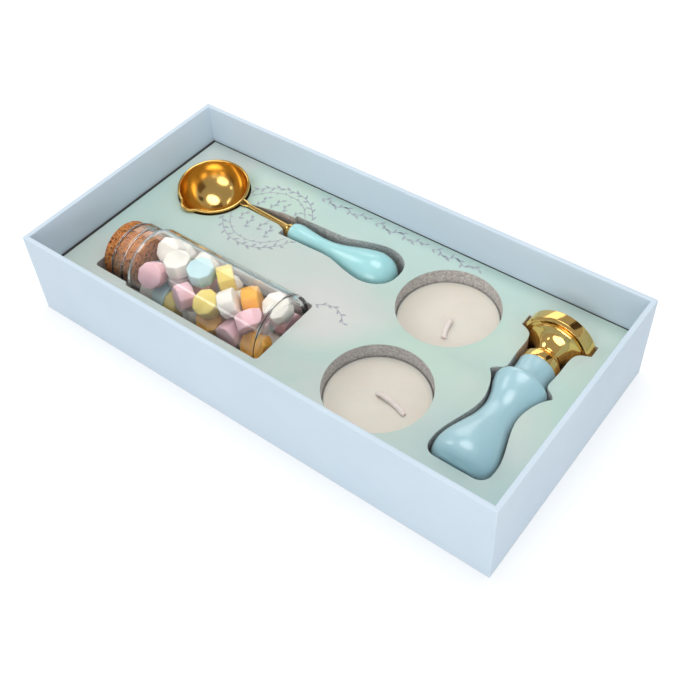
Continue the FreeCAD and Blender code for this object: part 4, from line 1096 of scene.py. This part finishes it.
def floorFinish():
    material, tree = newFinish("studioFloor", {})
    tree.nodes.remove(tree.nodes["Principled BSDF"])
    path = put(tree, "ShaderNodeLightPath").outputs
    seen = calc(tree, "MAXIMUM", path["Is Camera Ray"], path["Is Glossy Ray"])
    seen = calc(tree, "MAXIMUM", seen, path["Is Transmission Ray"])
    plain = put(tree, "ShaderNodeBsdfDiffuse", {"Color": stageLook["floorGrey"]})
    far = remap(tree, calcVector(tree, "LENGTH", objectPlace(tree)), stageLook["fade"])
    fade = calc(tree, "MULTIPLY", far, path["Is Camera Ray"])  # the far floor is white to the camera
    level = calc(tree, "ADD", fade, stageLook["floorGlow"])
    glow = put(tree, "ShaderNodeEmission", {"Color": (1, 1, 1, 1), "Strength": level})
    bright = put(tree, "ShaderNodeAddShader", {0: plain.outputs[0], 1: glow.outputs[0]})
    mix = put(tree, "ShaderNodeMixShader", {0: seen, 1: plain.outputs[0], 2: bright.outputs[0]})
    tree.links.new(mix.outputs[0], tree.nodes["Material Output"].inputs["Surface"])
    return material


def newSheet(name, width, height, z=0.0):
    x, y = width / 2, height / 2
    return newObject(name, [(-x, -y, z), (x, -y, z), (x, y, z), (-x, y, z)], [(0, 1, 2, 3)])


def makeStage():
    look = stageLook
    floor = newSheet("studioFloor", look["floorSize"], look["floorSize"], -look["floorDrop"] * mm)
    floor.data.materials.append(floorFinish())
    world = bpy.data.worlds.new("studioWorld")
    bpy.context.scene.world = world
    world.use_nodes = True
    tree = world.node_tree
    back = tree.nodes["Background"].inputs
    path = put(tree, "ShaderNodeLightPath").outputs
    seen = calc(tree, "MAXIMUM", path["Is Camera Ray"], path["Is Transmission Ray"])
    level = remap(tree, seen, after=(look["worldLight"], look["cameraWhite"]))
    mirror = calc(tree, "MULTIPLY", path["Is Glossy Ray"], look["mirrorDark"])
    tree.links.new(calc(tree, "SUBTRACT", level, mirror), back["Strength"])
    back["Color"].default_value = (1, 1, 1, 1)


def addLamp(name, place, aim, width, height, power):
    lamp = bpy.data.lights.new(name, "AREA")
    lamp.shape = "ELLIPSE"
    lamp.size, lamp.size_y = width, height
    lamp.energy = power
    obj = added(name, lamp)
    obj.location = place
    obj.rotation_euler = (Vector(aim) - Vector(place)).to_track_quat("-Z", "Y").to_euler()


def addCard(name, place, width, height, shade, glow):  # a card that only reflections see
    card = newSheet(name, width, height)
    turn = (Vector(aim) - Vector(place)).to_track_quat("Z", "Y").to_matrix().to_4x4()
    card.data.transform(Matrix.Translation(Vector(place)) @ turn)
    constants = {
        "Base Color": (*shade, 1), "Roughness": stageLook["cardRough"], "Emission Color": (*shade, 1),
        "Emission Strength": glow}
    card.data.materials.append(newFinish(name, constants)[0])
    card.visible_camera = card.visible_diffuse = card.visible_shadow = card.visible_transmission = False


makeStage()
for lamp in lamps:
    addLamp(*lamp)
for card in cards:
    addCard(*card)

camera = bpy.data.cameras.new("studioCamera")
camera.sensor_width, camera.lens, camera.clip_start = (cameraLook[key] for key in ("sensor", "lens", "clip"))
cameraObject = added("studioCamera", camera)
cameraObject.location = cameraLook["place"]
cameraObject.rotation_euler = [math.radians(angle) for angle in cameraLook["turn"]]
bpy.context.scene.camera = cameraObject
bpy.context.scene.view_settings.view_transform = "Standard"
print("stage done")
